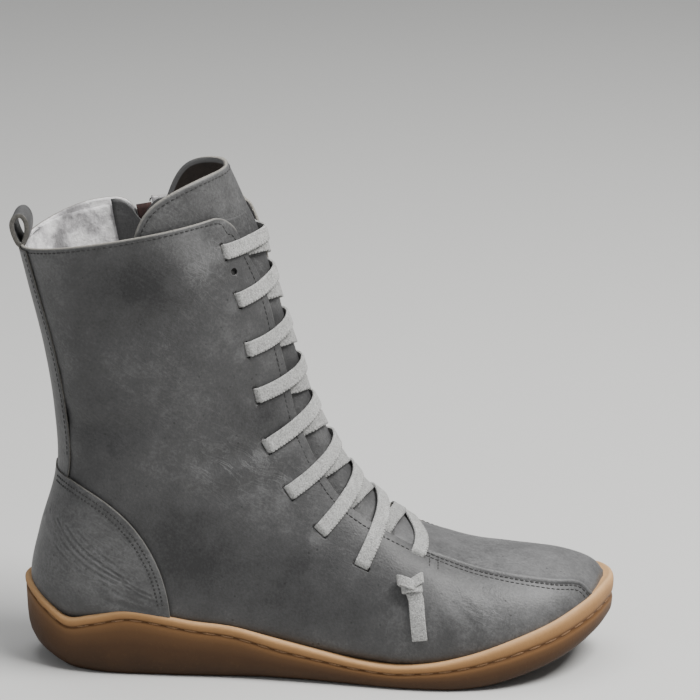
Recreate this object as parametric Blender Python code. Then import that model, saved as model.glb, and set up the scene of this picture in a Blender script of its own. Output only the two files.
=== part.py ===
# Winter boot for the right foot, standing empty on its sole.
# Toe along +X, outer side towards -Y, up along +Z, ground at z = 0.
# Tables are in millimetres; meshes are made in metres.
import math
from functools import lru_cache

import bmesh
import bpy
import numpy as np
from mathutils import Vector

for obj in list(bpy.data.objects):
    bpy.data.objects.remove(obj, do_unlink=True)

boot = bpy.data.collections.new("winter_boot")
cutters = bpy.data.collections.new("cutters")
for collection in (boot, cutters):
    bpy.context.scene.collection.children.link(collection)

metre = 0.001
wall = 2.2            # leather and lining of the shaft and foot
apronDrop = 1.0       # the quarters lie this far over the apron
gap = 0.35            # air left between pieces that touch in the real boot
clear = 0.25          # added to that gap where two faceted skins run side by side
laceWidth = 7.0
laceThick = 1.3
slotLength = 8.4
slotWidth = 2.0
spareHoleWidth = 3.2
knotHoleWidth = 4.4
tongueThick = 1.8
insoleThick = 4.5
zipSlit = 8.0
counterThick = 1.1
stripThick = 0.8
stripHalf = (24.0, 20.0)  # at the counter, at the collar
loopWidth = 20.0
loopThick = 2.2
cutDepth = 6.0        # how far cutters run past the leather, inwards and outwards
blockHalf = 90.0      # half width of the blocks that cut right across the boot
sharpAngle = 35.0     # degrees; flatter edges are shaded smooth

# Colour, roughness and metallic value of each finish, and the pieces that have it.
finishes = {
    "grey_leather": ((0.15, 0.15, 0.155, 1), 0.55, 0.0),
    "gum_rubber": ((0.40, 0.23, 0.11, 1), 0.60, 0.0),
    "pale_felt": ((0.55, 0.54, 0.52, 1), 0.95, 0.0),
    "grey_elastic": ((0.42, 0.42, 0.42, 1), 0.85, 0.0),
    "brown_zip": ((0.07, 0.035, 0.03, 1), 0.65, 0.0),
    "brown_metal": ((0.11, 0.06, 0.05, 1), 0.40, 0.8),
}
finishOf = {
    "outsole": "gum_rubber", "insole": "pale_felt", "zip_tape": "brown_zip",
    "zip_slider": "brown_metal", "zip_pull": "brown_metal",
    "lace_crossings": "grey_elastic", "lace_knot_lateral": "grey_elastic",
    "lace_knot_medial": "grey_elastic", "lace_end_lateral": "grey_elastic",
    "lace_end_medial": "grey_elastic",
}

# One row per section, from the toe round the heel to the tongue's top.
# Sole end x, z; dorsal end x, z; outer and inner half widths; centre y;
# level of the widest point; squareness below and above it; distance of the
# facing edge or apron seam from the dorsal line.
sectionNames = (
    "soleX", "soleZ", "topX", "topZ", "outer", "inner", "centre",
    "widest", "squareLow", "squareHigh", "edge",
)
sections = {
    "toeTip":   (234.0, 25.0, 234.0, 41.0, 6.0, 6.0, 5.5, 0.50, 2.2, 2.0, 9.0),
    "toeCap":   (229.5, 22.0, 229.5, 45.6, 20.0, 17.5, 5.0, 0.42, 3.0, 2.0, 27.0),
    "toeRound": (221.0, 18.0, 221.0, 49.0, 30.5, 26.5, 4.5, 0.38, 4.0, 2.0, 25.0),
    "toeBox":   (208.0, 13.0, 208.0, 51.5, 38.5, 34.0, 3.5, 0.34, 5.0, 2.1, 28.5),
    "foreVamp": (190.0, 9.5, 190.0, 52.5, 44.0, 39.0, 2.0, 0.30, 5.0, 2.2, 28.5),
    "vamp":     (170.0, 8.0, 170.0, 55.4, 45.5, 40.5, 1.0, 0.28, 5.0, 2.2, 25.5),
    "throat":   (146.0, 7.0, 148.0, 64.0, 44.6, 38.5, 0.0, 0.27, 5.0, 2.25, 23.0),
    "ball":     (125.0, 8.0, 135.8, 72.4, 42.0, 35.0, 0.0, 0.28, 5.0, 2.2, 22.5),
    "waist":    (103.0, 10.0, 125.6, 81.0, 38.5, 31.0, 0.0, 0.30, 5.0, 2.1, 22.5),
    "arch":     (76.0, 13.0, 116.4, 91.6, 35.5, 30.0, 0.0, 0.34, 4.6, 2.0, 22.5),
    "midFoot":  (42.0, 15.8, 108.8, 103.4, 34.0, 31.5, 0.0, 0.38, 4.0, 1.98, 21.0),
    "heelSeat": (0.0, 16.8, 101.8, 117.6, 33.5, 32.5, 0.0, 0.42, 3.1, 2.0, 19.0),
    "heelTurn": (-25.0, 21.0, 95.8, 130.5, 33.5, 33.0, 0.0, 0.44, 2.6, 2.0, 16.8),
    "heelBack": (-33.0, 39.0, 91.5, 146.0, 33.6, 33.4, 0.0, 0.45, 2.4, 2.0, 15.0),
    "heelTop":  (-28.6, 63.0, 86.0, 163.5, 34.0, 34.0, 0.0, 0.46, 2.3, 2.05, 14.0),
    "ankle":    (-20.5, 92.0, 80.3, 181.5, 34.0, 34.0, 0.0, 0.46, 2.2, 2.1, 13.0),
    "shin":     (-21.0, 122.0, 74.2, 197.0, 34.5, 34.5, 0.0, 0.46, 2.2, 2.1, 13.5),
    "calf":     (-25.0, 152.0, 69.5, 208.5, 35.6, 35.6, 0.0, 0.46, 2.2, 2.1, 15.0),
    "flare":    (-31.5, 182.0, 66.5, 215.0, 36.8, 36.8, 0.0, 0.46, 2.2, 2.1, 15.5),
    "collar":   (-36.0, 202.0, 64.5, 218.5, 37.6, 37.6, 0.0, 0.46, 2.2, 2.1, 16.0),
    "tongueTop": (-39.0, 214.0, 62.0, 238.0, 38.5, 38.5, 0.0, 0.46, 2.2, 2.1, 16.0),
}
rowOf = {name: index for index, name in enumerate(sections)}
sectionRows = np.array(list(sections.values()))

# Sole: rim outline seen from above, heel round the outer side to the toe and back.
rimOuter = (
    (-38, 0), (-34, -13.5), (-23.5, -24), (-4, -30.5), (25, -33.5), (65, -35.8), (105, -41),
    (140, -47), (165, -48.5), (190, -45), (212, -35.5), (228, -20), (236, -5), (238.3, 6),
)
rimInner = (
    (-38, 0), (-34, 13), (-23.5, 23.5), (-4, 30), (25, 32), (55, 30.5), (85, 30.5), (112, 34.5),
    (140, 41.5), (165, 45), (190, 44), (211, 39.5), (227, 29.5), (235.5, 17), (238.3, 6),
)
# Heights along the boot: rim top, footbed floor, tread, and how far the tread edge tucks in.
rimTop = (
    (-38, 39.5), (-27.5, 33.5), (-17, 27), (-5, 29), (12, 32.5), (28, 30.5), (42, 28), (60, 26),
    (80, 21.2), (100, 16.6), (120, 12.6), (135, 11.6), (150, 13), (170, 17.5), (190, 24),
    (210, 30.5), (225, 36), (238, 40),
)
floorTop = (
    (-45, 23.5), (-20, 21.2), (0, 20), (40, 18.8), (75, 16.2), (100, 13.2), (125, 10.9), (145, 10),
    (170, 11), (190, 13), (208, 16.8), (221, 21.8), (230, 26.3), (245, 33),
)
treadLow = (
    (-36, 9), (-28, 5), (-20, 1.8), (-12, 0), (-8, 0), (40, 0), (158, 0), (166, 0.3), (176, 1.4),
    (188, 3.6), (200, 6.6), (211, 10), (220, 14), (230, 20), (240, 27),
)
treadTuck = (
    (-36, 13), (-24, 9.5), (-5, 5), (30, 4.2), (100, 5), (140, 3.5), (190, 4.5), (212, 7), (238, 10),
)
archRise = ((40, 0), (55, 1.6), (80, 5.5), (100, 2.6), (114, 0))

# Rim bead, groove and side, from the crown down: how far in, how far below the rim.
rimProfile = {
    "innerTop": (9.0, 0.9), "shoulder": (3.0, 0.5), "crown": (1.5, 0.0), "beadOut": (0.0, 1.9),
    "beadLow": (0.5, 5.2), "groove": (1.5, 6.3), "ledge": (0.8, 7.5),
}
# Side below the ledge: share of the tuck, share of the height left above the tread.
sideProfile = {
    "sideHigh": (0.05, 0.78), "sideMid": (0.10, 0.45), "sideLow": (0.32, 0.18), "tread": (1.0, 0.0),
}
fullSide = 20.0       # the profile above is drawn for a side this tall, and shrinks on a lower one
leastScale = 0.62
beadShare = ((-40, 0.74), (50, 0.76), (130, 1.0), (240, 1.0))      # lower bead round the heel

# Lace slots as x, z on each side, from the top down, and the three round holes.
slotsOuter = (
    (58.5, 201.5), (64.5, 179), (68.5, 156), (72.5, 134), (77, 110), (87, 88.5), (101.5, 71),
    (120.5, 56),
)
slotsInner = (
    (56, 189), (60.5, 167), (65, 144.5), (69.5, 121), (77, 98.5), (90, 78), (107, 62.5),
    (129, 52),
)
spareHole = (63, 192)
knotOuter = (143, 47.5)
knotInner = (48.5, 200.5)
tailOuter = ((145.6, 42.5), (147.6, 24.5))
tailInner = ((51.4, 196.2), (56.4, 186.2))

# Zip: its two ends, where the slider stands along it, and the heights of its pieces.
zipTop = (17.5, 211)
zipFoot = (50, 41)
sliderShare = 0.075
teethHalf = 2.1
tapeLow = -2.1
tapeHigh = -0.8
teethHigh = 0.1
sliderLow = 0.55
sliderHigh = 2.05
pinHeight = 2.95      # hinge of the pull above the leather
pullLength = 26.0
pullWidth = 5.2
pullThick = 1.0


def spline(rows, at):
    rows = np.asarray(rows, float)
    at = min(max(at, 0.0), len(rows) - 1.000001)
    first = int(at)
    f = at - first
    padded = np.vstack([2 * rows[0] - rows[1], rows, 2 * rows[-1] - rows[-2]])
    a, b, c, d = padded[first:first + 4]
    return 0.5 * (
        2 * b + (c - a) * f + (2 * a - 5 * b + 4 * c - d) * f ** 2 + (3 * b - a - 3 * c + d) * f ** 3
    )


# Smooth height along x through a short table: slopes taken from the neighbours.
def along(table, x):
    xs = np.array([row[0] for row in table], float)
    zs = np.array([row[1] for row in table], float)
    x = min(max(x, xs[0]), xs[-1])
    slopes = np.gradient(zs, xs)
    i = int(min(np.searchsorted(xs, x, side="right") - 1, len(xs) - 2))
    h = xs[i + 1] - xs[i]
    t = (x - xs[i]) / h
    if zs[i] == zs[i + 1]:
        return float(zs[i])
    low = slopes[i] if i and zs[i] != zs[i - 1] else 0.0
    high = slopes[i + 1] if i + 2 < len(xs) and zs[i + 2] != zs[i + 1] else 0.0
    return float(
        zs[i] * (1 + 2 * t) * (1 - t) ** 2 + h * low * t * (1 - t) ** 2
        + zs[i + 1] * t * t * (3 - 2 * t) + h * high * t * t * (t - 1)
    )


# The two half curves of a section, each from the dorsal line to the sole line,
# with the length run along it.
@lru_cache(maxsize=None)
def section(s):
    v = dict(zip(sectionNames, spline(sectionRows, s)))
    u = 0.5 - 0.5 * np.cos(np.linspace(0, math.pi, 61))
    turn = np.concatenate([u * math.pi / 2, (1 + u[1:]) * math.pi / 2])
    cosine, sine = np.cos(turn), np.sin(turn)
    upper = turn <= math.pi / 2
    power = np.where(upper, 2 / v["squareHigh"], 2 / v["squareLow"])
    reach = np.abs(cosine) ** power
    level = np.where(upper, v["widest"] + (1 - v["widest"]) * reach, v["widest"] * (1 - reach))
    spread = np.abs(sine) ** power
    halves = []
    for side, half in ((-1, v["outer"]), (1, v["inner"])):
        points = np.stack([
            v["soleX"] + (v["topX"] - v["soleX"]) * level,
            v["centre"] + side * half * spread,
            v["soleZ"] + (v["topZ"] - v["soleZ"]) * level,
        ], axis=1)
        run = np.concatenate([[0], np.cumsum(np.linalg.norm(np.diff(points, axis=0), axis=1))])
        halves.append((points, run))
    return halves


def halfLength(s, side):
    return section(round(s, 4))[0 if side < 0 else 1][1][-1]


# Point of the boot's form at section s, w millimetres from the dorsal line,
# negative to the outer side; past the sole line it runs up the other side.
def skin(s, w):
    halves = section(round(s, 4))
    side = 0 if w < 0 else 1
    far = abs(w)
    if far > halves[side][1][-1]:
        far = halves[0][1][-1] + halves[1][1][-1] - far
        side = 1 - side
    points, run = halves[side]
    return np.array([np.interp(far, run, points[:, k]) for k in range(3)])


def normal(s, w):
    low, high = max(s - 0.04, 0.0), min(s + 0.04, len(sectionRows) - 1.001)
    side = -1 if w < 0 else 1
    share = w / halfLength(s, side)
    alongRows = skin(high, share * halfLength(high, side)) - skin(low, share * halfLength(low, side))
    across = skin(s, w + 0.6) - skin(s, w - 0.6)
    n = np.cross(across, alongRows)
    return n / np.linalg.norm(n)


def lifted(s, w, height):
    return skin(s, w) + normal(s, w) * height


# The inner facing reaches further over the foot than the outer one.
innerReach = ((5.5, 1.0), (7.2, 0.80), (20, 0.65))


def edgeOf(s, side=-1):
    edge = spline(sectionRows, s)[sectionNames.index("edge")]
    return edge * along(innerReach, s) if side > 0 else edge


# Section and distance of the form's point at x, z on one side.
def place(x, z, side):
    best = None
    for s in np.arange(1.0, 19.9, 0.5):
        for share in np.linspace(0.02, 0.9, 23):
            w = side * share * halfLength(s, side)
            p = skin(s, w)
            miss = math.hypot(p[0] - x, p[2] - z)
            if best is None or miss < best[0]:
                best = (miss, s, w)
    s, w = best[1:]
    for step in range(12):
        p = skin(s, w)[[0, 2]]
        bySection = (skin(s + 0.05, w)[[0, 2]] - p) / 0.05
        byWidth = (skin(s, w + 0.5)[[0, 2]] - p) / 0.5
        grid = np.stack([bySection, byWidth], axis=1)
        move = np.linalg.lstsq(grid, np.array([x, z]) - p, rcond=None)[0]
        s = min(max(s + np.clip(move[0], -0.4, 0.4), 0.5), 19.9)
        w += np.clip(move[1], -6, 6)
    return s, w


# Shortest way over the form between two places, kept to evenly spaced w.
def taut(start, end, steps):
    w = np.linspace(start[1], end[1], steps + 1)
    s = np.linspace(start[0], end[0], steps + 1)
    for turn in range(80):
        points = np.array([skin(a, b) for a, b in zip(s, w)])
        middle = (points[:-2] + points[2:]) / 2 - points[1:-1]
        inside = zip(s[1:-1], w[1:-1])
        slope = np.array([(skin(a + 0.05, b) - skin(a - 0.05, b)) / 0.1 for a, b in inside])
        s[1:-1] += (middle * slope).sum(axis=1) / (slope ** 2).sum(axis=1)
    return list(zip(s, w))


def material(finish):
    found = bpy.data.materials.get(finish)
    if found:
        return found
    made = bpy.data.materials.new(finish)
    made.use_nodes = True
    colour, roughness, metallic = finishes[finish]
    shader = made.node_tree.nodes["Principled BSDF"]
    shader.inputs["Base Color"].default_value = colour
    shader.inputs["Roughness"].default_value = roughness
    shader.inputs["Metallic"].default_value = metallic
    return made


# An object from a mesh built in place; its origin can be set on a joint's axis.
def newObject(name, bm, helper=False, origin=(0, 0, 0)):
    bmesh.ops.remove_doubles(bm, verts=bm.verts, dist=1e-7)
    bmesh.ops.recalc_face_normals(bm, faces=bm.faces)
    bmesh.ops.translate(bm, verts=bm.verts, vec=-Vector(origin))
    mesh = bpy.data.meshes.new(name)
    bm.to_mesh(mesh)
    bm.free()
    obj = bpy.data.objects.new(name, mesh)
    obj.location = origin
    if helper:
        cutters.objects.link(obj)
        obj.hide_render = True
        obj.display_type = "WIRE"
        return obj
    boot.objects.link(obj)
    mesh.materials.append(material(finishOf.get(name, "grey_leather")))
    mesh.shade_smooth()
    mesh.set_sharp_from_angle(angle=math.radians(sharpAngle))
    return obj


def combine(target, other, operation):
    modifier = target.modifiers.new(operation.lower() + "_" + other.name, "BOOLEAN")
    modifier.operation = operation
    modifier.object = other
    modifier.solver = "EXACT"


def addVerts(bm, points):
    return [bm.verts.new(Vector(p) * metre) for p in points]


def joinRings(bm, first, second, closed=True):
    count = len(first)
    for i in range(count if closed else count - 1):
        j = (i + 1) % count
        bm.faces.new((first[i], first[j], second[j], second[i]))


# A flat outline in x, z pushed through y.
def slab(name, outline, low, high, helper=False):
    bm = bmesh.new()
    face = bm.faces.new(addVerts(bm, [(x, low, z) for x, z in outline]))
    pushed = bmesh.ops.extrude_face_region(bm, geom=[face])["geom"]
    moved = [item for item in pushed if isinstance(item, bmesh.types.BMVert)]
    bmesh.ops.translate(bm, verts=moved, vec=(0, (high - low) * metre, 0))
    return newObject(name, bm, helper)


# A profile of (across, height) carried along points with their normals.
def sweep(bm, profile, points, normals, closed=False):
    rings = []
    count = len(points)
    for i, (p, n) in enumerate(zip(points, normals)):
        if closed:
            ahead, behind = points[(i + 1) % count], points[i - 1]
        else:
            ahead, behind = points[min(i + 1, count - 1)], points[max(i - 1, 0)]
        forward = ahead - behind
        forward = forward / np.linalg.norm(forward)
        across = np.cross(n, forward)
        across = across / np.linalg.norm(across)
        up = np.cross(forward, across)
        rings.append(addVerts(bm, [p + across * a + up * h for a, h in profile]))
    for first, second in zip(rings, rings[1:]):
        joinRings(bm, first, second)
    if closed:
        joinRings(bm, rings[-1], rings[0])
    else:
        bm.faces.new(rings[0])
        bm.faces.new(rings[-1])
    return rings


def bar(width, low, high):
    return ((-width / 2, low), (width / 2, low), (width / 2, high), (-width / 2, high))


# Axes on the form: the point, across the sections' run, along it, and out.
def axesAt(s, w):
    n = normal(s, w)
    up = skin(s + 0.1, w) - skin(s - 0.1, w)
    up = up - n * np.dot(up, n)
    up = up / np.linalg.norm(up)
    return skin(s, w), np.cross(n, up), up, n


# A cutter through the leather: a slot with four sides or a round hole with more.
def peg(bm, s, w, length, width, sides=4):
    p, across, up, n = axesAt(s, w)
    if sides == 4:
        corners = ((-1, -1), (1, -1), (1, 1), (-1, 1))
    else:
        turns = [k * math.tau / sides for k in range(sides)]
        corners = [(math.cos(turn), math.sin(turn)) for turn in turns]
    rings = [
        addVerts(bm, [p + across * a * width / 2 + up * b * length / 2 + n * h for a, b in corners])
        for h in (-cutDepth, cutDepth)
    ]
    joinRings(bm, *rings)
    for ring in rings:
        bm.faces.new(ring)


tableSpan = (-60, 260, 41)


# Outline of everything below the height table, for cutting the sole seat.
def belowTable(table, lift, floor=-30):
    xs = np.linspace(*tableSpan)
    top = [(x, along(table, x) + lift) for x in xs]
    return [(xs[0], floor)] + top + [(xs[-1], floor)]


# UPPER: outer and inner skins of one wall, open at collar and throat.
upperRows = [0, 0.4, 0.8, 1.2, 1.6, 2.0]
upperRows += [2.5 + 0.5 * k for k in range(8)]
upperRows += [6.6 + 0.6 * k for k in range(16)]
upperRows += [16.3, 17.1, 17.8, 18.4, 19.0]
formEnd = 19.95
cornerFrom = 15.5     # rows above this one close up towards the rounded collar corners
sideSteps = 11
underSteps = 4
underShare = 0.66
lipWidth = 0.5        # the step from the quarters down to the apron takes this much
mostEdge = 0.55
apronSteps = 4
collarRow = rowOf["collar"]
cornerReach = 15.0
cornerDrop = 1.7
collarRise = 0.26     # the collar stands a little higher in the middle of the inner side
riseAt = 90.0
riseReach = 24.0


# The collar's front corners round down into the facing edges.
def collarSection(w):
    start = edgeOf(collarRow, w) + cornerReach
    into = min(max((start - abs(w)) / cornerReach, 0.0), 1.0)
    rise = collarRise * math.exp(-(((w - riseAt) / riseReach) ** 2))
    return collarRow + rise - cornerDrop * (1 - math.sqrt(1 - into ** 2))


def upperColumns(s):
    outer, inner = halfLength(s, -1), halfLength(s, 1)
    edge, innerEdge = (min(edgeOf(s, side), mostEdge * inner) for side in (-1, 1))
    v = dict(zip(sectionNames, spline(sectionRows, s)))
    outerEnd, innerEnd = outer - underShare * v["outer"], inner - underShare * v["inner"]
    lat = [-(edge + (outerEnd - edge) * k / sideSteps) for k in range(sideSteps + 1)]
    across = outer + inner - outerEnd - innerEnd
    low = [-(outerEnd + across * k / underSteps) for k in range(1, underSteps)]
    med = [innerEnd - (innerEnd - innerEdge) * k / sideSteps for k in range(sideSteps + 1)]
    lid = edge + innerEdge - 2 * lipWidth
    top = [innerEdge - lipWidth - lid * k / apronSteps for k in range(apronSteps + 1)]
    return lat + low + med, top


# The whole boot form as one closed body, moved out or in by an amount. It shares
# the upper's rows and columns, so its facets run parallel to the upper's.
def form(name, height):
    bm = bmesh.new()
    rings = []
    for s in upperRows + [formEnd]:
        around, top = upperColumns(s)
        rings.append(addVerts(bm, [lifted(s, w, height) for w in around + top]))
    for first, second in zip(rings, rings[1:]):
        joinRings(bm, first, second)
    bm.faces.new(rings[0])
    bm.faces.new(rings[-1])
    return newObject(name, bm, helper=True)


def makeUpper():
    bm = bmesh.new()
    skins = []
    for height, lidHeight in ((0, -apronDrop), (-wall, -wall)):
        rings = []
        for s in upperRows:
            around, top = upperColumns(s)
            points = []
            for w in around:
                row = s
                if s > cornerFrom:
                    limit = collarSection(w)
                    row = cornerFrom + (s - cornerFrom) * (limit - cornerFrom) / (collarRow - cornerFrom)
                points.append(lifted(row, w, height))
            ring = addVerts(bm, points)
            lid = []
            if s <= rowOf["throat"]:
                lid = addVerts(bm, [lifted(s, w, lidHeight) for w in top])
            rings.append((ring, lid))
        skins.append(rings)
    for rings in skins:
        for (ring, lid), (nextRing, nextLid) in zip(rings, rings[1:]):
            joinRings(bm, ring, nextRing, closed=False)
            if lid and nextLid:
                seamed = [ring[-1]] + lid + [ring[0]]
                nextSeamed = [nextRing[-1]] + nextLid + [nextRing[0]]
                joinRings(bm, seamed, nextSeamed, closed=False)
        ring, lid = rings[0]
        bm.faces.new(ring + lid)
    outRings, inRings = skins
    joinRings(bm, outRings[-1][0], inRings[-1][0], closed=False)
    throatAt = upperRows.index(rowOf["throat"])
    for end in (0, -1):
        outEdge = [ring[end] for ring, lid in outRings[throatAt:]]
        inEdge = [ring[end] for ring, lid in inRings[throatAt:]]
        joinRings(bm, outEdge, inEdge, closed=False)
    throatEnds = []
    for rings in skins:
        ring, lid = rings[throatAt]
        throatEnds.append([ring[-1]] + lid + [ring[0]])
    joinRings(bm, *throatEnds, closed=False)
    return newObject("upper", bm)


upper = makeUpper()
underFloor = slab("under_floor", belowTable(floorTop, gap), -blockHalf, blockHalf, helper=True)
combine(upper, underFloor, "DIFFERENCE")

outerPlaces = [place(x, z, -1) for x, z in slotsOuter]
innerPlaces = [place(x, z, 1) for x, z in slotsInner]
knotPlaces = {"lateral": place(*knotOuter, -1), "medial": place(*knotInner, 1)}
bm = bmesh.new()
for s, w in outerPlaces + innerPlaces:
    peg(bm, s, w, slotLength, slotWidth)
peg(bm, *place(*spareHole, -1), spareHoleWidth, spareHoleWidth, sides=10)
for s, w in knotPlaces.values():
    peg(bm, s, w, knotHoleWidth, knotHoleWidth, sides=10)
combine(upper, newObject("lace_slots", bm, helper=True), "DIFFERENCE")


# ZIP: straight from the collar down the inner side.
def zipPath(fromShare, toShare, steps):
    found = []
    for t in np.linspace(fromShare, toShare, steps + 1):
        x = zipTop[0] + (zipFoot[0] - zipTop[0]) * t
        z = zipTop[1] + (zipFoot[1] - zipTop[1]) * t
        found.append(place(x, z, 1))
    return [skin(s, w) for s, w in found], [normal(s, w) for s, w in found]


zipSteps = 14
slitSpan = (-0.055, 1.0)
tapeSpan = (0.012, 0.994)
bm = bmesh.new()
sweep(bm, bar(zipSlit, -cutDepth, cutDepth), *zipPath(*slitSpan, zipSteps))
combine(upper, newObject("zip_slit", bm, helper=True), "DIFFERENCE")

tapeHalf = zipSlit / 2 - gap
zipProfile = (
    (-tapeHalf, tapeLow), (tapeHalf, tapeLow), (tapeHalf, tapeHigh), (teethHalf, tapeHigh),
    (teethHalf, teethHigh), (-teethHalf, teethHigh), (-teethHalf, tapeHigh), (-tapeHalf, tapeHigh),
)
bm = bmesh.new()
sweep(bm, zipProfile, *zipPath(*tapeSpan, zipSteps))
newObject("zip_tape", bm)

# Slider near the collar, in its own axes: down the zip, across it, and out.
sliderPoints, sliderNormals = zipPath(sliderShare - 0.03, sliderShare + 0.03, 2)
sliderAt = sliderPoints[1]
sliderDown = sliderPoints[2] - sliderPoints[0]
sliderDown = sliderDown / np.linalg.norm(sliderDown)
sliderOut = sliderNormals[1] - sliderDown * np.dot(sliderNormals[1], sliderDown)
sliderOut = sliderOut / np.linalg.norm(sliderOut)
sliderAcross = np.cross(sliderOut, sliderDown)


def sliderPoint(down, across, out):
    return sliderAt + sliderDown * down + sliderAcross * across + sliderOut * out


def sliderBox(name, down, across, out, helper=False, origin=(0, 0, 0)):
    bm = bmesh.new()
    corners = [(down[i], across[j]) for i, j in ((0, 0), (1, 0), (1, 1), (0, 1))]
    rings = [addVerts(bm, [sliderPoint(d, a, h) for d, a in corners]) for h in out]
    joinRings(bm, *rings)
    for ring in rings:
        bm.faces.new(ring)
    return newObject(name, bm, helper, origin)


slider = sliderBox("zip_slider", (-5.0, 5.0), (-3.9, 3.9), (sliderLow, sliderHigh))
bridge = sliderBox("bridge", (-3.6, 3.6), (-0.8, 0.8), (sliderHigh - 0.5, 4.8), helper=True)
bridgeEye = sliderBox("bridge_eye", (-2.4, 2.4), (-2.0, 2.0), (sliderHigh, 3.8), helper=True)
combine(slider, bridge, "UNION")
combine(slider, bridgeEye, "DIFFERENCE")

# The pull hangs from the bridge: its top bar is the hinge pin, its window goes round the bridge.
pinHalf = 0.45
pull = sliderBox(
    "zip_pull", (-pinHalf, pullLength), (-pullWidth / 2, pullWidth / 2),
    (pinHeight - pullThick / 2, pinHeight + pullThick / 2),
    origin=sliderPoint(0, 0, pinHeight) * metre,
)
pullWindow = sliderBox("pull_window", (pinHalf, 5.6), (-1.3, 1.3), (0, cutDepth), helper=True)
combine(pull, pullWindow, "DIFFERENCE")

# SOLE: rings round the rim outline from the rim's inner top to the tread.
outlineSteps = 28
endCrowding = 0.35    # how far the steps draw together at the toe and heel


def outline(table, other):
    smooth = (other[1],) + table + (other[-2],)
    finely = np.linspace(1, len(table), 40 * len(table))
    fine = np.array([spline(smooth, a) for a in finely])
    run = np.concatenate([[0], np.cumsum(np.linalg.norm(np.diff(fine, axis=0), axis=1))])
    even = np.linspace(0, 1, outlineSteps + 1)
    crowded = 0.5 - 0.5 * np.cos(even * math.pi)
    marks = run[-1] * (endCrowding * crowded + (1 - endCrowding) * even)
    return np.stack([np.interp(marks, run, fine[:, k]) for k in range(2)], axis=1)


rim = np.vstack([outline(rimOuter, rimInner)[:-1], outline(rimInner, rimOuter)[::-1][:-1]])
rimCount = len(rim)
rimAhead = np.roll(rim, -1, axis=0) - np.roll(rim, 1, axis=0)
rimInward = np.stack([-rimAhead[:, 1], rimAhead[:, 0]], axis=1)
rimInward /= np.linalg.norm(rimInward, axis=1)[:, None]


# The arch rises fully at the inner edge and hardly at the outer one.
def treadHeight(x, y):
    share = min(max(0.42 + y / 60, 0.08), 1.0)
    return along(treadLow, x) + share * along(archRise, x)


def sideScale(top, low, x):
    return min(max((top - low) / fullSide, leastScale), 1.0) * along(beadShare, x)


def makeSole(name, lift=0.0, helper=False):
    bm = bmesh.new()
    rings = []
    tops = [along(rimTop, x) + lift for x, y in rim]
    tucks = [along(treadTuck, x) for x, y in rim]
    treads = [p + n * t for p, n, t in zip(rim, rimInward, tucks)]
    lows = [treadHeight(x, y) for x, y in treads]
    for inward, drop in rimProfile.values():
        ring = []
        for p, n, top, low in zip(rim, rimInward, tops, lows):
            at = p + n * inward
            ring.append((at[0], at[1], top - drop * sideScale(top, low, p[0])))
        rings.append(addVerts(bm, ring))
    for share, height in sideProfile.values():
        ring = []
        for p, n, top, low, tuck in zip(rim, rimInward, tops, lows, tucks):
            ledge = top - rimProfile["ledge"][1] * sideScale(top, low, p[0])
            at = p + n * (tuck * share)
            ring.append((at[0], at[1], low + (ledge - low) * height))
        rings.append(addVerts(bm, ring))
    for first, second in zip(rings, rings[1:]):
        joinRings(bm, first, second)
    for ring in (rings[0], rings[-1]):
        for i in range(rimCount // 2):
            opposite = (rimCount - i) % rimCount
            corners = [ring[i], ring[i + 1], ring[rimCount - i - 1], ring[opposite]]
            bm.faces.new(list(dict.fromkeys(corners)))
    return newObject(name, bm, helper)


outsole = makeSole("outsole")
seat = form("sole_seat", gap + clear)
seatFloor = slab("seat_floor", belowTable(floorTop, 0), -blockHalf, blockHalf, helper=True)
combine(seat, seatFloor, "DIFFERENCE")
combine(outsole, seat, "DIFFERENCE")

# INSOLE: a slab on the floor, trimmed to the inside of the upper.
insoleSpan = (-40, 228, 36)
insoleFloor = [(x, along(floorTop, x) + gap) for x in np.linspace(*insoleSpan)]
insoleEdge = insoleFloor + [(x, z + insoleThick) for x, z in insoleFloor[::-1]]
insole = slab("insole", insoleEdge, -blockHalf, blockHalf)
combine(insole, form("inside_form", -wall - gap - 2 * clear), "INTERSECT")

# HEEL COUNTER: cut between two larger forms and trimmed to its outline.
counterCentre = (-20.0, 28.0)
counterReach = (52.5, 66.0)
counterPower = 1.9
counterSteps = 16
counterTuck = 1.5     # runs down into the corner behind the rim bead
behind = -70.0        # x of a line behind the whole boot


def counterOutline(grow):
    curve = []
    for k in range(counterSteps + 1):
        turn = k / counterSteps * math.pi / 2
        curve.append((
            counterCentre[0] + (counterReach[0] + grow) * math.cos(turn) ** (2 / counterPower),
            counterCentre[1] + (counterReach[1] + grow) * math.sin(turn) ** (2 / counterPower),
        ))
    return curve


counterCurve = counterOutline(0)
lowLine = [
    (x, along(rimTop, x) - counterTuck) for x in np.linspace(rimOuter[0][0], counterCurve[0][0], 18)
]
counterEdge = [(behind, lowLine[0][1])] + lowLine + counterCurve[1:] + [(behind, counterCurve[-1][1])]
counter = slab("heel_counter", counterEdge, -blockHalf, blockHalf)
combine(counter, makeSole("rim_clear", gap, helper=True), "DIFFERENCE")
combine(counter, form("counter_out", gap + clear + counterThick), "INTERSECT")
combine(counter, form("counter_in", gap + clear), "DIFFERENCE")

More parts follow.
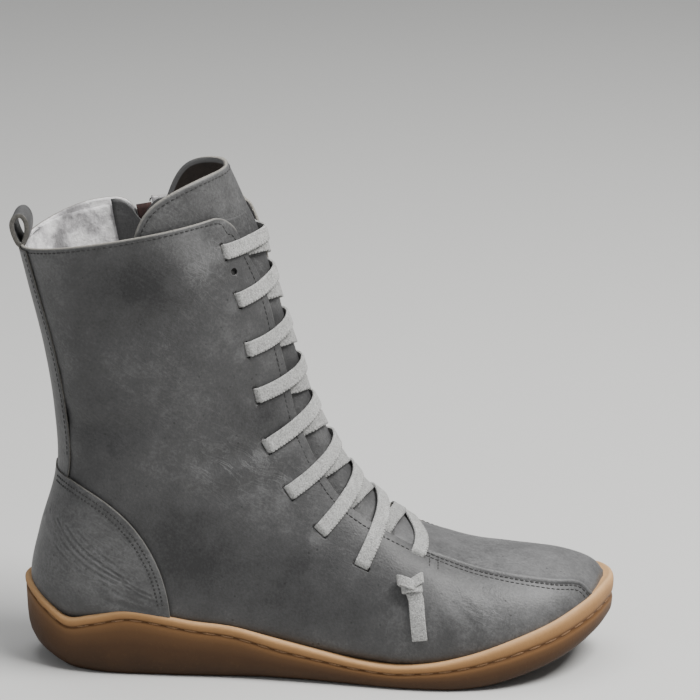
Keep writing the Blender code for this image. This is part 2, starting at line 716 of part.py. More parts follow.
# BACK STRIP: runs up the back from the counter to the collar.
stripRows = [14.5 + 0.5 * k for k in range(9)] + [18.94]
stripSteps = 8
bm = bmesh.new()
stripRings = []
for s in stripRows:
    half = np.interp(s, (stripRows[0], stripRows[-1]), stripHalf)
    start = halfLength(s, -1) - half
    ways = [-(start + 2 * half * k / stripSteps) for k in range(stripSteps + 1)]
    low = [lifted(s, w, gap) for w in ways]
    high = [lifted(s, w, gap + stripThick) for w in ways]
    stripRings.append(addVerts(bm, low + high[::-1]))
for first, second in zip(stripRings, stripRings[1:]):
    joinRings(bm, first, second)
bm.faces.new(stripRings[0])
bm.faces.new(stripRings[-1])
strip = newObject("back_strip", bm)
stripFootLow = 20.0
grownCurve = counterOutline(gap)
footEdge = [(behind, stripFootLow), (grownCurve[0][0], stripFootLow)]
footEdge += grownCurve + [(behind, grownCurve[-1][1])]
stripFoot = slab("strip_foot", footEdge, -blockHalf, blockHalf, helper=True)
combine(strip, stripFoot, "DIFFERENCE")

# PULL LOOP: a strap folded into a ring, sewn inside the collar.
loopRing = (
    (-30.0, 204.7), (-29.6, 208.5), (-31.0, 212.3), (-34.2, 213.9),
    (-37.5, 212.3), (-38.8, 208.7), (-37.4, 205.3), (-33.6, 204.2),
)
loopSteps = 16
stemOutline = ((-30.6, 204.4), (-27.6, 190.0), (-24.4, 190.0), (-27.2, 204.8))
stemHalf = loopWidth / 2 - 0.6
wrapped = loopRing[-1:] + loopRing + loopRing[:3]
bm = bmesh.new()
ringPoints, ringNormals = [], []
for k in range(loopSteps):
    at = 1 + k / loopSteps * len(loopRing)
    x, z = spline(wrapped, at)
    ahead = spline(wrapped, at + 0.1) - spline(wrapped, at - 0.1)
    n = np.array([ahead[1], 0.0, -ahead[0]])
    ringPoints.append(np.array([x, 0.0, z]))
    ringNormals.append(n / np.linalg.norm(n))
sweep(bm, bar(loopWidth, -loopThick / 2, loopThick / 2), ringPoints, ringNormals, closed=True)
loop = newObject("pull_loop", bm)
combine(loop, slab("loop_stem", stemOutline, -stemHalf, stemHalf, helper=True), "UNION")

# TONGUE: lies inside the facings and stands above the collar.
# Half width at each section, measured round the form.
tongueHalf = (
    (5.2, 16), (6, 26), (8, 31), (10, 32), (13, 32), (15, 35), (17, 46), (18, 54), (19, 59), (20, 60),
)
tongueRows = [5.2, 5.7]
tongueRows += [6.2 + 0.9 * k for k in range(13)]
tongueRows += [17.7, 18.4, 19.0, 19.5, 20.0]
tongueSteps = 10
tongueAir = 0.9
tongueLean = ((5, 0), (14, 0), (18, 5), (20, 5))      # how far it lies over to the outer side
tongueEnd = tongueRows[-1]
roundFrom = 17.0      # rows above this one close up towards the rounded top edge
roundFlat = 0.3       # share of the half width that stays at full height
roundDrop = 1.15
roundPower = (3.2, 5.5)      # outer and inner side


def tongueTop(share):
    into = max(abs(share) - roundFlat, 0.0) / (1 - roundFlat)
    return tongueEnd - roundDrop * into ** roundPower[share > 0]


def tongueRow(s, height):
    half = along(tongueHalf, s)
    points = []
    for k in range(tongueSteps + 1):
        share = -1 + 2 * k / tongueSteps
        row = s
        if s > roundFrom:
            row = roundFrom + (s - roundFrom) * (tongueTop(share) - roundFrom) / (tongueEnd - roundFrom)
        points.append(lifted(row, share * half - along(tongueLean, s), height))
    return points


bm = bmesh.new()
tongueRings = []
for s in tongueRows:
    outSide = tongueRow(s, -wall - tongueAir)
    inSide = tongueRow(s, -wall - tongueAir - tongueThick)
    tongueRings.append(addVerts(bm, outSide + inSide[::-1]))
for first, second in zip(tongueRings, tongueRings[1:]):
    joinRings(bm, first, second)
bm.faces.new(tongueRings[0])
bm.faces.new(tongueRings[-1])
newObject("tongue", bm)

# LACE: one elastic band zigzags up; each strap runs from its slot over its own
# facing and ends short of the edge it passes under.
strapSteps = 8
endShort = 3.0
laceBase = 0.75
endHeight = -0.1      # a strap's end dips so that it joins the strap that starts below it
stayLevel = 5.0       # a strap holds its height until it is this far past its own facing
endRise = (0.14, 0.20)  # share of its climb that a strap runs on after the far edge, by side
lowest = {"row": 6.1, "endRow": 6.8, "height": -0.7}


def strapObject(name, start, end, startHeight, helper):
    near = max(abs(start[1]) - edgeOf(*start) + stayLevel, 0.0)
    leave = near / abs(end[1] - start[1])
    points, normals = [], []
    for s, w in taut(start, end, strapSteps):
        over = (w - start[1]) / (end[1] - start[1])
        t = min(max((over - leave) / (1 - leave), 0.0), 1.0)
        ease = t * t * (3 - 2 * t)
        n = normal(s, w)
        points.append(skin(s, w) + n * (startHeight + (endHeight - startHeight) * ease))
        normals.append(n)
    bm = bmesh.new()
    sweep(bm, bar(laceWidth, 0.0, laceThick), points, normals)
    return newObject(name, bm, helper)


# The lowest strap lies wholly between the facings; the others each start at a slot.
climb = []
for outerPlace, innerPlace in zip(outerPlaces[::-1], innerPlaces[::-1]):
    climb += [innerPlace, outerPlace]
climb.append(knotPlaces["medial"])
lowReach = edgeOf(lowest["row"]) - endShort
lowEnd = edgeOf(lowest["endRow"], 1) - endShort
lace = strapObject(
    "lace_crossings", (lowest["row"], -lowReach), (lowest["endRow"], lowEnd), lowest["height"], False,
)
for index, (start, end) in enumerate(zip(climb, climb[1:])):
    reach = math.copysign(edgeOf((start[0] + end[0]) / 2, end[1]) - endShort, end[1])
    share = (reach - start[1]) / (end[1] - start[1])
    stop = (start[0] + (end[0] - start[0]) * (share + endRise[end[1] > 0]), reach)
    combine(lace, strapObject("strap_%d" % index, start, stop, laceBase, True), "UNION")


knotSize = {"across": 4.6, "along": 4.0, "out": 2.6, "height": 3.0}
tailSteps = 4


# Knots stand on the leather over their holes, and a short end hangs from each.
def knot(name, at):
    p, across, up, n = axesAt(*at)
    bm = bmesh.new()
    bmesh.ops.create_icosphere(bm, subdivisions=2, radius=1.0)
    for vert in bm.verts:
        a, b, c = vert.co
        height = knotSize["height"] + c * knotSize["out"]
        at = p + across * a * knotSize["across"] + up * b * knotSize["along"] + n * height
        vert.co = Vector(at) * metre
    newObject(name, bm)


def tail(name, ends, side, base):
    first, last = (place(x, z, side) for x, z in ends)
    bm = bmesh.new()
    points, normals = [], []
    for t in np.linspace(0, 1, tailSteps + 1):
        s = first[0] + (last[0] - first[0]) * t
        w = first[1] + (last[1] - first[1]) * t
        points.append(skin(s, w))
        normals.append(normal(s, w))
    sweep(bm, bar(laceWidth, base, base + laceThick), points, normals)
    newObject(name, bm)


knot("lace_knot_lateral", knotPlaces["lateral"])
knot("lace_knot_medial", knotPlaces["medial"])
tail("lace_end_lateral", tailOuter, -1, 0.6)
tail("lace_end_medial", tailInner, 1, 2.2)
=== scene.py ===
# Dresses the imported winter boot: leather, laces, zip, lining and gum sole, with camera and light.
import math

import bmesh
import bpy
import numpy as np
from mathutils import Matrix, Vector


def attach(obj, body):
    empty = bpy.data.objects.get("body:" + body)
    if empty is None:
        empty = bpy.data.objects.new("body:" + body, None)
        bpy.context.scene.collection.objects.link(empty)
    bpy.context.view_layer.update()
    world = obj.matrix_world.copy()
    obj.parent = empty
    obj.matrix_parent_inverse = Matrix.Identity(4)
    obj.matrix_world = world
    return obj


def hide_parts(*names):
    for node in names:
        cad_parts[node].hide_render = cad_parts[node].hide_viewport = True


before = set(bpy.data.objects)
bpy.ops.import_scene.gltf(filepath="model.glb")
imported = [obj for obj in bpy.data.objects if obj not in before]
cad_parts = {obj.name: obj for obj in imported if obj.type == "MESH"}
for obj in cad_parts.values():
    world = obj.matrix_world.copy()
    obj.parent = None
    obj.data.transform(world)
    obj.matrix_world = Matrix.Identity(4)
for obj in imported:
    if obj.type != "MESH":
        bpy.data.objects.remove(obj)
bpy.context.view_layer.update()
metre = 0.001

# the photograph's angle: from the outer side, a little above the collar
view = {"place": (0.150, -1.450, 0.587), "pitch": 16.8, "yaw": 1.4, "lens": 169.7, "sensor": 36.0}


def addObject(name, data):
    made = bpy.data.objects.new(name, data)
    bpy.context.scene.collection.objects.link(made)
    return made


def setCamera():
    lens = bpy.data.cameras.new("camera")
    lens.lens = view["lens"]
    lens.sensor_width = view["sensor"]
    lens.clip_end = 20
    camera = addObject("camera", lens)
    camera.location = view["place"]
    camera.rotation_euler = (math.radians(90 - view["pitch"]), 0, math.radians(view["yaw"]))
    bpy.context.scene.camera = camera


setCamera()
print("camera set")

# the boot's form, the same rows as the solids: sole end, dorsal end, half widths, centre,
# widest level, squareness, and how far the facing edge or apron seam is from the dorsal line
sectionNames = (
    "soleX", "soleZ", "topX", "topZ", "outer", "inner", "centre",
    "widest", "squareLow", "squareHigh", "edge",
)
sections = {
    "toeTip": (234.0, 25.0, 234.0, 41.0, 6.0, 6.0, 5.5, 0.50, 2.2, 2.0, 9.0),
    "toeCap": (229.5, 22.0, 229.5, 45.6, 20.0, 17.5, 5.0, 0.42, 3.0, 2.0, 27.0),
    "toeRound": (221.0, 18.0, 221.0, 49.0, 30.5, 26.5, 4.5, 0.38, 4.0, 2.0, 25.0),
    "toeBox": (208.0, 13.0, 208.0, 51.5, 38.5, 34.0, 3.5, 0.34, 5.0, 2.1, 28.5),
    "foreVamp": (190.0, 9.5, 190.0, 52.5, 44.0, 39.0, 2.0, 0.30, 5.0, 2.2, 27.2),
    "vamp": (170.0, 8.0, 170.0, 55.4, 45.5, 40.5, 1.0, 0.28, 5.0, 2.2, 23.8),
    "throat": (146.0, 7.0, 148.0, 64.0, 44.6, 38.5, 0.0, 0.27, 5.0, 2.25, 22.0),
    "ball": (125.0, 8.0, 135.8, 72.4, 42.0, 35.0, 0.0, 0.28, 5.0, 2.2, 22.5),
    "waist": (103.0, 10.0, 125.6, 81.0, 38.5, 31.0, 0.0, 0.30, 5.0, 2.1, 22.5),
    "arch": (76.0, 13.0, 116.4, 91.6, 35.5, 30.0, 0.0, 0.34, 4.6, 2.0, 22.5),
    "midFoot": (42.0, 15.8, 108.8, 103.4, 34.0, 31.5, 0.0, 0.38, 4.0, 1.98, 21.0),
    "heelSeat": (0.0, 16.8, 101.8, 117.6, 33.5, 32.5, 0.0, 0.42, 3.1, 2.0, 19.0),
    "heelTurn": (-25.0, 21.0, 95.8, 130.5, 33.5, 33.0, 0.0, 0.44, 2.6, 2.0, 16.8),
    "heelBack": (-33.0, 39.0, 91.5, 146.0, 33.6, 33.4, 0.0, 0.45, 2.4, 2.0, 15.0),
    "heelTop": (-28.6, 63.0, 86.0, 163.5, 34.0, 34.0, 0.0, 0.46, 2.3, 2.05, 14.0),
    "ankle": (-20.5, 92.0, 80.3, 181.5, 34.0, 34.0, 0.0, 0.46, 2.2, 2.1, 13.0),
    "shin": (-21.0, 122.0, 74.2, 197.0, 34.5, 34.5, 0.0, 0.46, 2.2, 2.1, 13.5),
    "calf": (-25.0, 152.0, 69.5, 208.5, 35.6, 35.6, 0.0, 0.46, 2.2, 2.1, 15.0),
    "flare": (-31.5, 182.0, 66.5, 215.0, 36.8, 36.8, 0.0, 0.46, 2.2, 2.1, 15.5),
    "collar": (-36.0, 202.0, 64.5, 218.5, 37.6, 37.6, 0.0, 0.46, 2.2, 2.1, 16.0),
    "tongueTop": (-39.0, 214.0, 62.0, 238.0, 38.5, 38.5, 0.0, 0.46, 2.2, 2.1, 16.0),
}
sectionRows = np.array(list(sections.values()))
collarRow = list(sections).index("collar")
rowStep = 0.05
shareSteps = 160


def spline(rows, at):
    rows = np.asarray(rows, float)
    at = np.clip(np.atleast_1d(np.asarray(at, float)), 0, len(rows) - 1.000001)
    first = at.astype(int)
    f = (at - first)[:, None]
    padded = np.vstack([2 * rows[0] - rows[1], rows, 2 * rows[-1] - rows[-2]])
    a, b, c, d = (padded[first + k] for k in range(4))
    return 0.5 * (
        2 * b + (c - a) * f + (2 * a - 5 * b + 4 * c - d) * f ** 2 + (3 * b - a - 3 * c + d) * f ** 3
    )


# smooth value along x through a short table
def along(table, x):
    xs, zs = np.array(table, float).T
    x = np.clip(np.asarray(x, float), xs[0], xs[-1])
    slopes = np.gradient(zs, xs)
    i = np.minimum(np.searchsorted(xs, x, side="right") - 1, len(xs) - 2)
    h = xs[i + 1] - xs[i]
    t = (x - xs[i]) / h
    before = np.concatenate([[zs[0]], zs[:-1]])
    after = np.concatenate([zs[1:], [zs[-1]]])
    low = np.where(zs[i] != before[i], slopes[i], 0.0)
    high = np.where(zs[i + 1] != after[i + 1], slopes[i + 1], 0.0)
    smooth = (
        zs[i] * (1 + 2 * t) * (1 - t) ** 2 + h * low * t * (1 - t) ** 2
        + zs[i + 1] * t * t * (3 - 2 * t) + h * high * t * t * (t - 1)
    )
    return np.where(zs[i] == zs[i + 1], zs[i], smooth)


def layOutForm():
    fine = np.arange(0, len(sectionRows) - 1 + rowStep / 2, rowStep)
    v = {name: column[:, None] for name, column in zip(sectionNames, spline(sectionRows, fine).T)}
    u = 0.5 - 0.5 * np.cos(np.linspace(0, math.pi, 61))
    turn = np.concatenate([u * math.pi / 2, (1 + u[1:]) * math.pi / 2])[None, :]
    upper = turn <= math.pi / 2
    power = np.where(upper, 2 / v["squareHigh"], 2 / v["squareLow"])
    reach = np.abs(np.cos(turn)) ** power
    level = np.where(upper, v["widest"] + (1 - v["widest"]) * reach, v["widest"] * (1 - reach))
    spread = np.abs(np.sin(turn)) ** power
    even = np.linspace(0, 1, shareSteps + 1)
    sides, lengths = [], []
    for side, half in ((-1, v["outer"]), (1, v["inner"])):
        points = np.stack([
            v["soleX"] + (v["topX"] - v["soleX"]) * level,
            v["centre"] + side * half * spread,
            v["soleZ"] + (v["topZ"] - v["soleZ"]) * level,
        ], axis=2)
        run = np.cumsum(np.linalg.norm(np.diff(points, axis=1), axis=2), axis=1)
        run = np.concatenate([np.zeros((len(run), 1)), run], axis=1)
        spaced = [
            np.stack([np.interp(even * r[-1], r, p[:, k]) for k in range(3)], axis=1)
            for p, r in zip(points, run)
        ]
        sides.append(spaced)
        lengths.append(run[:, -1])
    return np.array(sides), np.array(lengths)


formPoints, formLengths = layOutForm()

# the inner facing reaches further over the foot than the outer one
innerReach = ((5.5, 1.0), (7.2, 0.80), (20, 0.65))


# one of the form's values at any section
def formValue(name, s):
    return spline(sectionRows, np.ravel(s))[:, sectionNames.index(name)].reshape(np.shape(s))


def edgeOf(s, side=-1):
    edge = formValue("edge", s)
    return np.where(np.asarray(side) > 0, edge * along(innerReach, s), edge)


def rowsAt(s):
    row = np.clip(np.asarray(s, float) / rowStep, 0, formPoints.shape[1] - 1.001)
    return row.astype(int), row - row.astype(int)


def halfLength(s, side):
    r, f = rowsAt(s)
    half = (np.asarray(side) >= 0).astype(int)
    return formLengths[half, r] * (1 - f) + formLengths[half, r + 1] * f


# 0 below 0, 1 above 1, eased between
def eased(x):
    x = np.clip(x, 0, 1)
    return x * x * (3 - 2 * x)


# 1 at one place, gone about two reaches away
def hump(x, at, reach):
    return np.exp(-(((x - at) / reach) ** 2))


# the inner facing and the tongue stand open towards the top: section, millimetres forward
splay = {
    "reach": (
        (14.2, 0), (15.5, 1.6), (16.6, 4.2), (17, 4.8), (17.6, 5.0), (18.6, 4.8), (19, 4.5), (19.3, 3.6),
        (19.65, 2.0), (20, 0),
    ),
    "way": np.array([0.93, 0.0, 0.36]), "outer": -12.0, "full": 12.0, "inner": 38.0,
}


def splayed(s, w):
    share = eased((w - splay["outer"]) / -splay["outer"])
    share = share * eased((splay["inner"] - w) / (splay["inner"] - splay["full"]))
    return (along(splay["reach"], s) * share)[..., None] * splay["way"]


# point of the form at section s, w millimetres from the dorsal line, outer side negative
def skin(s, w):
    s, w = np.broadcast_arrays(np.asarray(s, float), np.asarray(w, float))
    r, f = rowsAt(s)
    half = (w >= 0).astype(int)
    own, other = halfLength(s, w), halfLength(s, -w - 1e-9)
    far = np.abs(w)
    past = far > own
    half = np.where(past, 1 - half, half)
    far = np.where(past, own + other - far, far)
    share = np.clip(far / np.where(past, other, own), 0, 1) * shareSteps
    j = np.minimum(share.astype(int), shareSteps - 1)
    g = (share - j)[..., None]
    low = formPoints[half, r, j] * (1 - g) + formPoints[half, r, j + 1] * g
    high = formPoints[half, r + 1, j] * (1 - g) + formPoints[half, r + 1, j + 1] * g
    return low * (1 - f[..., None]) + high * f[..., None] + splayed(s, w)


def unit(v):
    return v / np.maximum(np.linalg.norm(v, axis=-1, keepdims=True), 1e-12)


def outward(s, w):
    s, w = np.broadcast_arrays(np.asarray(s, float), np.asarray(w, float))
    low, high = np.maximum(s - 0.06, 0), np.minimum(s + 0.06, len(sectionRows) - 1.001)
    share = w / halfLength(s, w)
    rows = skin(high, share * halfLength(high, w)) - skin(low, share * halfLength(low, w))
    across = skin(s, w + 0.8) - skin(s, w - 0.8)
    return unit(np.cross(across, rows))


# points at a height over the form, and the way they face
def onForm(s, w, height):
    facing = outward(s, w)
    return skin(s, w) + facing * height, facing


# section and distance of the form's point at x, z on one side
def place(x, z, side):
    points = formPoints[0 if side < 0 else 1]
    share = np.arange(shareSteps + 1)
    miss = np.hypot(points[:, :, 0] - x, points[:, :, 2] - z)
    miss[:, (share < 3) | (share > 0.93 * shareSteps)] = 1e9
    row, column = np.unravel_index(np.argmin(miss), miss.shape)
    s = row * rowStep
    w = side * column / shareSteps * float(halfLength(s, side))
    for turn in range(8):
        p = skin(s, w)[[0, 2]]
        grid = np.stack([
            (skin(s + 0.05, w)[[0, 2]] - p) / 0.05, (skin(s, w + 0.5)[[0, 2]] - p) / 0.5,
        ], axis=1)
        move = np.linalg.lstsq(grid, np.array([x, z]) - p, rcond=None)[0]
        s = float(np.clip(s + np.clip(move[0], -0.2, 0.2), 0.5, 19.9))
        w += float(np.clip(move[1], -3, 3))
    return s, w


# shortest way over the form between two places
def taut(start, end, steps):
    w = np.linspace(start[1], end[1], 13)
    s = np.linspace(start[0], end[0], 13)
    for turn in range(240):
        points = skin(s, w)
        middle = (points[:-2] + points[2:]) / 2 - points[1:-1]
        slope = (skin(s[1:-1] + 0.05, w[1:-1]) - skin(s[1:-1] - 0.05, w[1:-1])) / 0.1
        s[1:-1] += (middle * slope).sum(axis=1) / (slope ** 2).sum(axis=1)
    drawn = spline(np.stack([s, w], axis=1), np.linspace(0, 12, steps + 1))
    return drawn[:, 0], drawn[:, 1]


# a path over the form moved sideways, to the left as seen from outside
def beside(s, w, away):
    points = skin(s, w)
    left = unit(np.cross(outward(s, w), np.gradient(points, axis=0)))
    high = np.minimum(s + 0.03, len(sectionRows) - 1.01)
    byRow = (skin(high, w) - skin(high - 0.06, w)) / 0.06
    byWidth = (skin(s, w + 0.5) - skin(s, w - 0.5))
    a, b, c = (byRow ** 2).sum(1), (byRow * byWidth).sum(1), (byWidth ** 2).sum(1)
    d, e = (byRow * left).sum(1) * away, (byWidth * left).sum(1) * away
    bottom = a * c - b * b
    return s + (d * c - e * b) / bottom, w + (e * a - d * b) / bottom


# points spaced evenly along a line of points
def spaced(points, pitch):
    run = np.concatenate([[0], np.cumsum(np.linalg.norm(np.diff(points, axis=0), axis=1))])
    count = max(int(round(run[-1] / pitch)), 1)
    at = np.linspace(0, run[-1], count + 1)
    return np.stack([np.interp(at, run, points[:, k]) for k in range(points.shape[1])], axis=1)


# how far each point is from a line of points
def distanceTo(points, line):
    best = np.full(len(points), 1e9)
    for a, b in zip(line[:-1], line[1:]):
        d = b - a
        t = np.clip(((points - a) @ d) / max(d @ d, 1e-12), 0, 1)
        best = np.minimum(best, np.linalg.norm(points - a - t[:, None] * d, axis=1))
    return best


# shader maths as plain expressions on wrapped sockets
class Wire:
    def __init__(self, tree, socket):
        self.tree = tree
        self.socket = socket

    def maths(self, operation, *values):
        node = self.tree.nodes.new("ShaderNodeMath")
        node.operation = operation
        for slot, value in zip(node.inputs, values):
            if isinstance(value, Wire):
                self.tree.links.new(value.socket, slot)
            else:
                slot.default_value = value
        return Wire(self.tree, node.outputs[0])

    def __add__(self, other):
        return self.maths("ADD", self, other)

    def __sub__(self, other):
        return self.maths("SUBTRACT", self, other)

    def __rsub__(self, other):
        return self.maths("SUBTRACT", other, self)

    def __mul__(self, other):
        return self.maths("MULTIPLY", self, other)

    def __abs__(self):
        return self.maths("ABSOLUTE", self)

    __radd__ = __add__
    __rmul__ = __mul__


class Finish:
    def __init__(self, name):
        self.material = bpy.data.materials.new(name)
        self.material.use_nodes = True
        self.tree = self.material.node_tree
        self.shader = self.tree.nodes["Principled BSDF"]

    def node(self, kind, settings=None, values=None, out=0):
        made = self.tree.nodes.new(kind)
        for key, value in (settings or {}).items():
            if key == "stops":
                ramp = made.color_ramp.elements
                while len(ramp) < len(value):
                    ramp.new(1.0)
                for stop, (at, colour) in zip(ramp, value):
                    stop.position = at
                    stop.color = (*colour, 1)
            else:
                setattr(made, key, value)
        for key, value in (values or {}).items():
            if isinstance(value, Wire):
                self.tree.links.new(value.socket, made.inputs[key])
            else:
                made.inputs[key].default_value = value
        return Wire(self.tree, made.outputs[out])

    def spot(self):
        return self.node("ShaderNodeTexCoord", out="Object")

    def attribute(self, name):
        return self.node("ShaderNodeAttribute", {"attribute_name": name}, out="Fac")

    def noise(self, at, scale, detail=3.0, rough=0.55, swirl=0.0):
        return self.node("ShaderNodeTexNoise", None, {
            "Vector": at, "Scale": scale, "Detail": detail, "Roughness": rough, "Distortion": swirl,
        })

    def cells(self, at, scale, out="Distance"):
        return self.node("ShaderNodeTexVoronoi", None, {"Vector": at, "Scale": scale}, out)

    def stretch(self, at, turn=(0, 0, 0), scale=(1, 1, 1)):
        return self.node("ShaderNodeMapping", None, {"Vector": at, "Rotation": turn, "Scale": scale})

    # a pattern drawn out along a line that slants in the x, z plane
    def slanted(self, at, slant, scale):
        return self.stretch(self.stretch(at, (0, slant, 0)), scale=scale)

    # 0 at low, 1 at high, eased; high may be the smaller one
    def ease(self, value, low, high):
        swap = low > high
        eased = self.node("ShaderNodeMapRange", {"interpolation_type": "SMOOTHSTEP"}, {
            "Value": value, "From Min": min(low, high), "From Max": max(low, high),
        })
        return 1 - eased if swap else eased

    def ramp(self, value, stops):
        return self.node("ShaderNodeValToRGB", {"stops": stops}, {"Fac": value}, "Color")

    def mix(self, share, first, second):
        colours = [c if isinstance(c, Wire) else (*c, 1) for c in (first, second)]
        return self.node(
            "ShaderNodeMix", {"data_type": "RGBA"}, {0: share, 6: colours[0], 7: colours[1]}, 2,
        )

    def bump(self, height, distance, strength=1.0):
        return self.node(
            "ShaderNodeBump", None, {"Height": height, "Distance": distance, "Strength": strength},
        )

    def shade(self, **sockets):
        names = {
            "colour": "Base Color", "rough": "Roughness", "metal": "Metallic", "normal": "Normal",
            "sheen": "Sheen Weight", "sheenRough": "Sheen Roughness", "coat": "Coat Weight",
            "coatRough": "Coat Roughness", "specular": "Specular IOR Level",
        }
        for key, value in sockets.items():
            slot = self.shader.inputs[names[key]]
            if isinstance(value, Wire):
                self.tree.links.new(value.socket, slot)
            else:
                slot.default_value = (*value, 1) if isinstance(value, tuple) else value
        return self.material


rawEdge = (0.30, 0.29, 0.265)
leatherLook = {
    "deep": (0.022, 0.022, 0.023), "mid": (0.062, 0.062, 0.063), "pale": (0.155, 0.155, 0.157),
    "cloud": 0.45, "broad": 0.42, "mottle": 0.50, "nap": 0.50, "vein": 0.20, "rough": 0.50,
    "fleck": (0.010, 0.010, 0.010),
}


# pull-up leather: cloudy greys, fine pale wrinkles, dark flecks, pale where it is cut or stretched
def greyLeather(name, look, shift=0.0):
    m = Finish(name)
    spot = m.spot()
    wear = m.attribute("wear")
    cloud = m.noise(spot, 22, 3)
    mottle = m.noise(spot, 110, 6, 0.65)
    nap = m.noise(spot, 800, 3, 0.6)
    broad = m.noise(spot, 48, 4, 0.6)
    patchy = m.ease(m.noise(spot, 34, 2), 0.46, 0.64)
    lines = []
    for scale, slant in ((230, -0.5), (300, 1.25)):
        drawn = m.noise(m.slanted(spot, slant, (0.28, 1, 1)), scale, 4, 0.58, 0.7) - 0.5
        lines.append(m.ease(abs(drawn), 0.055, 0.004))
    vein = lines[0] * (wear * 0.8 + patchy * 0.10) + lines[1] * patchy * (wear * 0.5 + 0.12)
    # each piece's tone value brings in the painted light and shade it lays, with its own uneven tone
    level = (
        (cloud - 0.5) * look["cloud"] + (broad - 0.5) * look["broad"] + (mottle - 0.5) * look["mottle"]
        + (nap - 0.5) * look["nap"] + vein * look["vein"] + m.attribute("tone") + (0.5 + shift)
    )
    colour = m.ramp(level, [(0.05, look["deep"]), (0.5, look["mid"]), (0.98, look["pale"])])
    fleck = m.ease(m.cells(spot, 300), 0.22, 0.08) * m.ease(m.noise(spot, 120, 2), 0.55, 0.64)
    colour = m.mix(fleck * 0.55, colour, look["fleck"])
    worn = m.ease(m.attribute("edge"), 0.9, 0.1)
    colour = m.mix(worn * 0.45, colour, rawEdge)
    grain = m.cells(spot, 1100)
    height = grain * 0.22 + nap * 0.30 + vein * 0.35 + mottle * 0.30 - fleck * 0.3
    return m.shade(
        colour=colour, rough=(mottle - 0.5) * 0.25 + look["rough"], normal=m.bump(height, 0.00035, 0.75),
        specular=0.40,
    )


# cut leather, darkened by its seam value: painted shade where a cut edge lies in a seam gap and at the foot
# of a raised edge, elsewhere just a darker edge
def cutEdge():
    m = Finish("cutEdge")
    fibre = m.noise(m.spot(), 900, 4, 0.7)
    pale = m.ramp(fibre, [(0.3, (0.17, 0.16, 0.145)), (0.7, (0.36, 0.345, 0.31))])
    colour = m.mix(m.attribute("seam"), pale, (0.02, 0.02, 0.02))
    return m.shade(colour=colour, rough=0.9, normal=m.bump(fibre, 0.0004))


def brownLeather():
    m = Finish("brownLeather")
    spot = m.spot()
    cloud = m.noise(spot, 60, 5, 0.6)
    colour = m.ramp(cloud, [(0.3, (0.012, 0.009, 0.007)), (0.75, (0.045, 0.032, 0.024))])
    colour = m.mix(m.ease(m.attribute("edge"), 2.8, 2.0), colour, (0.16, 0.16, 0.16))
    return m.shade(colour=colour, rough=0.75, normal=m.bump(m.noise(spot, 900, 3), 0.0003))


def paleFleece():
    m = Finish("paleFleece")
    spot = m.spot()
    tuft = m.noise(spot, 75, 4, 0.6)
    fuzz = m.noise(spot, 420, 5, 0.75)
    level = (tuft - 0.5) * 1.75 + fuzz * 0.40 + 0.33
    colour = m.ramp(level, [
        (0.30, (0.24, 0.235, 0.24)), (0.52, (0.50, 0.49, 0.50)), (0.72, (0.82, 0.81, 0.81)),
    ])
    return m.shade(
        colour=colour, rough=0.98, normal=m.bump(tuft * 0.5 + fuzz * 0.35, 0.002), sheen=0.3, specular=0.1,
    )


def wovenElastic():
    m = Finish("wovenElastic")
    spot = m.spot()
    thread = m.noise(spot, 1300, 3, 0.75)
    soft = m.noise(spot, 260, 3, 0.6)
    level = (thread - 0.5) * 1.15 + (soft - 0.5) * 0.30 + m.attribute("tone") + 0.48
    colour = m.ramp(level, [
        (0.15, (0.13, 0.13, 0.128)), (0.48, (0.37, 0.37, 0.362)), (0.80, (0.62, 0.62, 0.61)),
    ])
    return m.shade(
        colour=colour, rough=0.88, normal=m.bump(thread, 0.0007), sheen=0.15, specular=0.2,
    )


def gumRubber():
    m = Finish("gumRubber")
    spot = m.spot()
    cloud = m.noise(spot, 45, 4, 0.6)
    fine = m.noise(spot, 700, 3, 0.65)
    # colour by drop below the rim top: the gum's tan with a paler painted highlight on the bead's crest,
    # painted shade in the stitched groove, and painted shade deepening down the side to the ground
    side = m.ramp(m.attribute("drop") * 0.032, [
        (0.0, (0.56, 0.345, 0.175)), (0.035, (0.49, 0.28, 0.125)), (0.08, (0.37, 0.20, 0.080)),
        (0.15, (0.28, 0.145, 0.055)), (0.20, (0.085, 0.036, 0.011)), (0.25, (0.175, 0.088, 0.034)),
        (0.33, (0.105, 0.051, 0.019)), (0.46, (0.062, 0.029, 0.011)), (0.78, (0.024, 0.011, 0.004)),
    ])
    colour = m.mix(m.ease(cloud, 0.40, 0.75) * 0.15, side, (0.12, 0.062, 0.026))
    colour = m.mix(m.ease(fine, 0.55, 0.75) * 0.12, colour, (0.16, 0.08, 0.032))
    return m.shade(
        colour=colour, rough=(cloud - 0.5) * 0.2 + 0.58, normal=m.bump(fine, 0.00025, 0.6), specular=0.25,
    )


def plainThread(name, dark, light):
    m = Finish(name)
    twist = m.noise(m.spot(), 1600, 3, 0.6)
    return m.shade(
        colour=m.ramp(twist, [(0.3, dark), (0.7, light)]), rough=0.7, normal=m.bump(twist, 0.0002),
    )


def brownZip(name, dark, light, rough, metal):
    m = Finish(name)
    wear = m.noise(m.spot(), 500, 4, 0.65)
    colour = m.ramp(wear, [(0.3, dark), (0.75, light)])
    return m.shade(
        colour=colour, rough=(wear - 0.5) * 0.2 + rough, metal=metal, normal=m.bump(wear, 0.00015),
    )


def feltInsole():
    m = Finish("feltInsole")
    fuzz = m.noise(m.spot(), 500, 5, 0.75)
    colour = m.ramp(fuzz, [(0.3, (0.30, 0.29, 0.28)), (0.7, (0.55, 0.54, 0.52))])
    return m.shade(colour=colour, rough=0.95, normal=m.bump(fuzz, 0.0008))


